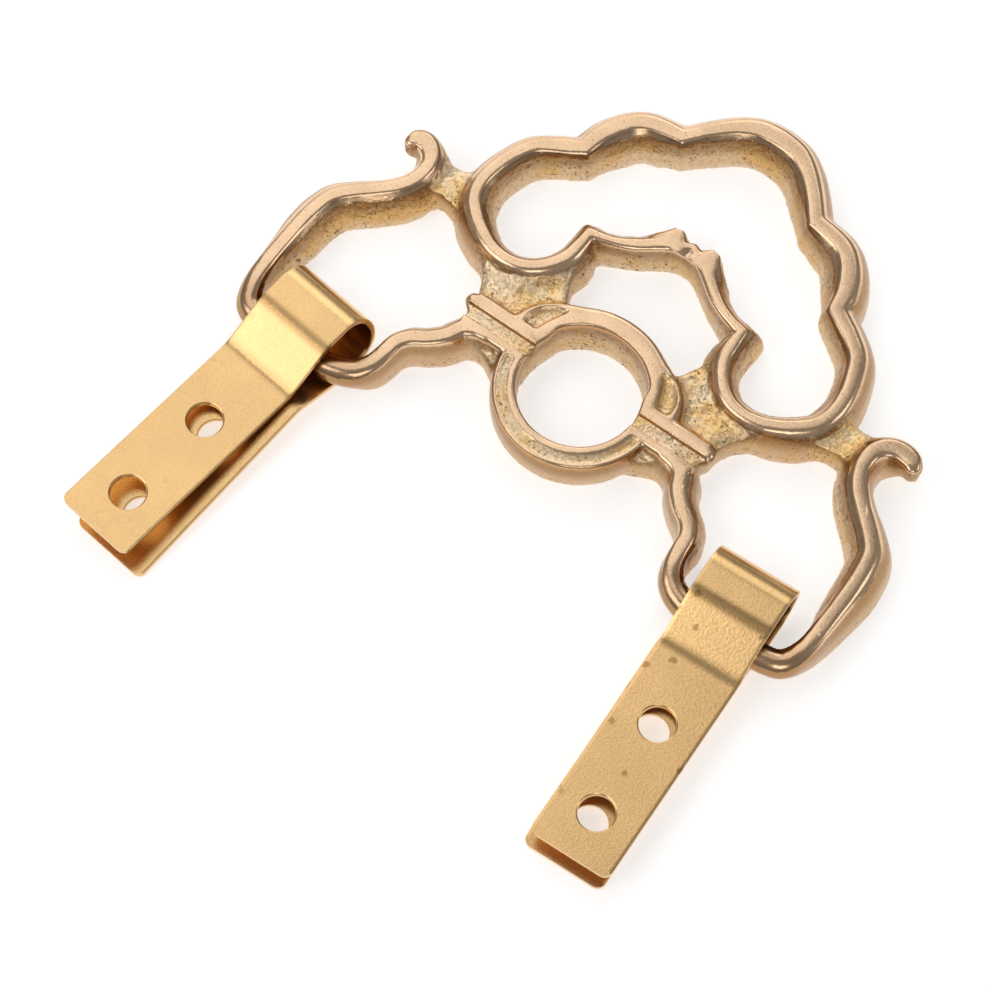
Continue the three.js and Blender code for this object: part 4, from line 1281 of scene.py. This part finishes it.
def cast_brass(settings):
    """Satin peach brass on tumbled ribs, rough golden sand-cast walls with dark pits, and painted
    shade, highlights and floor reflection.
    """
    m = Shader("tumbled_cast_brass")
    at = m.node("ShaderNodeTexCoord").outputs["Object"]
    polish, hollow, ridge, shade, wall = (
        m.attribute(name) for name in ("polish", "hollow", "ridge", "shade", "wall"))
    satin, tarnish_and_shade = settings.polished, settings.tarnish_and_shade

    clouds = m.noise(at, 260.0, 4.0)
    speckle = m.noise(at, 4200.0, 2.0, 0.6)
    dots = m.ramp(m.noise(at, 5200.0, 1.0, 0.5), 0.71, 0.76)
    polished = m.mix(m.ramp(clouds, 0.35, 0.7), tone(satin, 0.92), tone(satin, 1.06))
    polished = m.over(polished, tone(tarnish_and_shade, 2.0), m.ramp(speckle, 0.5, 0.7), 0.14)
    polished = m.over(polished, tone(tarnish_and_shade), dots, 0.6)

    grain = m.ramp(m.noise(at, 2300.0, 3.0, 0.6), 0.5, 0.66)
    # Painted highlight: pale glints at random over the rough surface, kept off the walls.
    glints = m.times(m.ramp(m.noise(at, 800.0, 3.0), 0.46, 0.62), m.rest_of(wall))
    cells = m.node("ShaderNodeTexVoronoi", {"Vector": at, "Scale": 2300.0},
                   feature="DISTANCE_TO_EDGE").outputs["Distance"]
    pebble = m.times(m.ramp(cells, 0.08, 0.3), m.ramp(clouds, 0.42, 0.6))
    pits = m.ramp(m.noise(at, 3600.0, 3.0, 0.7), 0.56, 0.64)
    patches = m.ramp(m.noise(at, 430.0, 2.0), 0.46, 0.58)
    crust = m.times(m.ramp(m.noise(at, 3000.0, 4.0, 0.7), 0.47, 0.55), m.ramp(hollow, 0.03, 0.3))
    rough = m.mix(m.ramp(clouds, 0.38, 0.62), tone(settings.rough), tone(PALE_SAND))
    for paint, *shares in (
            (tone(DULL_GRAIN), grain, 0.4),
            # painted highlight: the pale glints
            (tone(GLINT_HIGHLIGHT), glints, 0.45),
            # painted shade on the steep walls
            (tone(WALL_SHADE_BROWN), wall, 0.55),
            (tone(PEBBLE_GREY), pebble, wall, 0.5),
            # painted reflection of the floor at the walls' feet
            (tone(FOOT_FLOOR_REFLECTION), m.attribute("foot"), 0.5),
            (tone(tarnish_and_shade), pits, patches, 0.95),
            (tone(tarnish_and_shade, 1.2), crust, 0.8),
            (tone(tarnish_and_shade, 2.0), shade, 0.65)):
        rough = m.over(rough, paint, *shares)

    base = m.mix(polish, rough, polished)
    for paint, *shares in (
            (tone(tarnish_and_shade, 2.4), shade, m.ramp(polish, 0.1, 0.5), 0.85),
            # painted shade on the polished walls
            (tone(SATIN_WALL_SHADE), wall, polish, 0.8),
            # painted shade on the bevels below the rib tops
            (tone(BEVEL_SHADE_BROWN), m.attribute("bevel_shade"), 0.7),
            # the round bars painted darker brown
            (tone(BAR_BROWN), m.attribute("bar_darkening"), 0.5),
            # painted shade in the fine groove beside the ribs
            (tone(tarnish_and_shade, 1.4), m.attribute("edge"), 0.6),
            # painted shade in the hollows
            (tone(tarnish_and_shade, 1.2), m.ramp(hollow, 0.2, 0.8), 0.7),
            # painted highlight on the ridges
            (tone(RIDGE_HIGHLIGHT), m.ramp(ridge, 0.3, 0.9), 0.35)):
        base = m.over(base, paint, *shares)

    gloss = m.node("ShaderNodeMapRange", {0: polish, 1: 0.0, 2: 1.0, 3: 0.3, 4: 0.21}).outputs[0]
    sand = m.math("SUBTRACT", m.noise(at, 4600.0, 4.0, 0.6), m.times(pits, 0.5))
    height = m.plus(m.times(speckle, 0.09), m.times(sand, m.rest_of(polish)))
    return m.finish({"Base Color": base, "Metallic": 1.0, "Roughness": gloss},
                    {"Strength": 0.7, "Distance": 0.00009, "Height": height})


def sheet_brass(settings):
    """Satin yellow brass with an orange-peel surface and small brown spots, painted shade at the
    creases, and a darker inside to the loop.
    """
    m = Shader("rolled_sheet_brass")
    at = m.node("ShaderNodeTexCoord").outputs["Object"]
    sheet, spots_and_shade = settings.sheet_colour, settings.spots_and_shade
    clouds = m.noise(at, 180.0, 4.0)
    peel = m.noise(at, 4200.0, 3.0, 0.6)
    speckle = m.ramp(m.noise(at, 6200.0, 2.0), 0.45, 0.65)
    strayed = m.vector_sum(at, m.scaled(m.noise(at, 1800.0, 2.0, output="Color"), 0.0007))
    cells = m.node("ShaderNodeTexVoronoi", {"Vector": strayed, "Scale": 560.0,
                                            "Randomness": 1.0}).outputs["Distance"]
    dots = m.times(m.rest_of(m.ramp(cells, 0.12, 0.22)),
                   m.ramp(m.noise(at, 150.0, 1.0), 0.48, 0.54))
    base = m.mix(m.ramp(clouds, 0.35, 0.7), tone(sheet, 0.95), tone(sheet, 1.04))
    for paint, *shares in (
            (tone(spots_and_shade, 1.2), speckle, 0.17),
            (tone(spots_and_shade), dots, m.attribute("spotted")),
            # the loop's inside painted darker
            (tone(spots_and_shade, 0.95), m.attribute("inside"), 0.6),
            # painted shade at the creases
            (tone(spots_and_shade, 0.85), m.attribute("crease_shade"), 0.42)):
        base = m.over(base, paint, *shares)
    return m.finish({"Base Color": base, "Metallic": 1.0, "Roughness": 0.24},
                    {"Strength": 0.32, "Distance": 0.00003, "Height": peel})


def floor_white(settings):
    """A white floor that keeps the shadows and shows white in the brass."""
    m = Shader("floor_white")
    path = m.node("ShaderNodeLightPath").outputs
    seen = m.math("MAXIMUM", path["Is Camera Ray"], path["Is Glossy Ray"])
    seen = m.math("MAXIMUM", seen, path["Is Transmission Ray"])
    return m.finish({"Base Color": (*settings.floor_colour, 1.0), "Roughness": 0.9,
                     "Specular IOR Level": 0.0, "Emission Color": WHITE,
                     "Emission Strength": m.times(seen, FLOOR_GLOW)})


def finished(mesh, points, box, material):
    """Sets the last points, in millimetres, inside the solid's box, and dresses the mesh."""
    low, high = (np.array(corner) for corner in box)
    set_coordinates(mesh, np.clip(points * MM, low + BOX_MARGIN, high - BOX_MARGIN))
    mesh.materials.clear()
    mesh.materials.append(material)
    mesh.shade_smooth()


class HANGER_OT_casting(bpy.types.Operator):
    """Builds the openwork casting over its solid"""
    bl_idname = "hanger.casting"
    bl_label = "Cast Hanger"

    def execute(self, context):
        group = context.scene.hanger_casting
        material = cast_brass(group)
        s = settings_in_mm(group)
        obj = casting_surface(casting_solid(s, material), s)
        casting_measures(obj.data, s)
        points = vertex_values(obj.data, "co")
        points[:, 1] += s["ring_centre"]
        finished(obj.data, points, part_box("hanger_casting"), material)
        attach(obj, "casting")
        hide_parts("hanger_casting")
        return {"FINISHED"}


class HANGER_OT_straps(bpy.types.Operator):
    """Builds the two folded straps over their solids"""
    bl_idname = "hanger.straps"
    bl_label = "Folded Straps"

    def execute(self, context):
        group = context.scene.hanger_straps
        material = sheet_brass(group)
        s = settings_in_mm(group)
        c = settings_in_mm(context.scene.hanger_casting)
        for spec in STRAPS:
            self.make(spec, s, c, material)
        return {"FINISHED"}

    def make(self, spec, s, c, material):
        obj = strip_object(s, spec, material)
        cutters = leg_cutters(s, spec, 1) + leg_cutters(s, spec, -1)
        obj = without_slivers(cut_with(obj, cutters, spec["name"] + "_sheet"), SHORTEST_EDGE)
        place = np.array(strap_place(s, spec, c))
        points = strap_measures(obj.data, s, spec) @ place[:3, :3].T + place[:3, 3]
        points[:, 2] -= points[:, 2].min()
        finished(obj.data, points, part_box(spec["name"]), material)
        obj.data.set_sharp_from_angle(angle=math.radians(SHARP_ANGLE))
        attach(obj, spec["name"])
        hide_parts(spec["name"])


def area_light(name, location, target, size, power):
    lamp = bpy.data.lights.new(name, "AREA")
    lamp.shape = "DISK"
    lamp.size = size
    lamp.energy = power
    obj = linked(name, lamp)
    obj.location = location
    obj.rotation_euler = (target - location).to_track_quat("-Z", "Y").to_euler()


def camera_axes(azimuth, elevation):
    right = Vector((math.cos(azimuth), math.sin(azimuth), 0.0))
    back = Vector((math.sin(azimuth) * math.cos(elevation),
                   -math.cos(azimuth) * math.cos(elevation), math.sin(elevation)))
    return right, back.cross(right), back


class HANGER_OT_stage(bpy.types.Operator):
    """Sets the floor, the lights and the camera"""
    bl_idname = "hanger.stage"
    bl_label = "Stage"

    def execute(self, context):
        group = context.scene.hanger_stage
        casting = context.scene.hanger_casting
        half = group.floor_size / 2
        corners = [(x, y, 0) for x, y in rectangle((-half, half), (-half, half))]
        floor = mesh_object("floor", corners, faces=[(0, 1, 2, 3)])
        floor.location.z = -FLOOR_DROP
        floor.data.materials.append(floor_white(group))
        right, up, back = camera_axes(group.azimuth, group.elevation)
        aim = Vector((AIM[0], AIM[1] + casting.ring_centre, casting.cast_height))
        self.place_camera(context.scene, aim, right, up, back, group.distance)
        self.place_lamps(context.scene, aim, right, back)
        context.scene.view_settings.view_transform = "Standard"
        return {"FINISHED"}

    def place_camera(self, scene, aim, right, up, back, distance):
        camera = bpy.data.cameras.new("camera")
        camera.lens, camera.sensor_width = LENS, SENSOR
        camera.clip_start, camera.clip_end = 0.01, 20.0
        scene.camera = linked("camera", camera)
        turn = Matrix((right, up, back)).transposed().to_4x4()
        scene.camera.matrix_world = Matrix.Translation(aim + back * distance) @ turn

    def place_lamps(self, scene, aim, right, back):
        away = Vector((-back.x, -back.y, 0.0)).normalized()
        rise = Vector((0.0, 0.0, 1.0))
        for name, side, far, high, distance, size, power in LAMPS:
            way = (right * side + away * far + rise * high).normalized()
            area_light(name, aim + way * distance, aim, size, power)
        world = bpy.data.worlds.new("studio")
        world.use_nodes = True
        background = world.node_tree.nodes["Background"].inputs
        background["Color"].default_value = WHITE
        background["Strength"].default_value = WORLD_STRENGTH
        scene.world = world


class HANGER_PT_panel(bpy.types.Panel):
    """Lists the hanger's pieces and sizes"""
    bl_idname = "HANGER_PT_panel"
    bl_label = "Picture Hanger"
    bl_space_type = "VIEW_3D"
    bl_region_type = "UI"
    bl_category = "Hanger"

    def draw(self, context):
        for name, _ in GROUPS:
            box = self.layout.box()
            box.operator(name.replace("_", "."))
            settings = getattr(context.scene, name)
            for key in settings.bl_rna.properties.keys():
                if key not in {"rna_type", "name"}:
                    box.prop(settings, key)


CLASSES = (HangerCastingSettings, HangerStrapSettings, HangerStageSettings, HANGER_OT_casting,
           HANGER_OT_straps, HANGER_OT_stage, HANGER_PT_panel)
GROUPS = (("hanger_casting", HangerCastingSettings), ("hanger_straps", HangerStrapSettings),
          ("hanger_stage", HangerStageSettings))


def register():
    for item in CLASSES:
        bpy.utils.register_class(item)
    for name, kind in GROUPS:
        setattr(bpy.types.Scene, name, bpy.props.PointerProperty(type=kind))


def unregister():
    for name, _ in reversed(GROUPS):
        delattr(bpy.types.Scene, name)
    for item in reversed(CLASSES):
        bpy.utils.unregister_class(item)


def main():
    register()
    bpy.ops.hanger.stage()
    bpy.ops.hanger.casting()
    bpy.ops.hanger.straps()


if __name__ == "__main__":
    main()
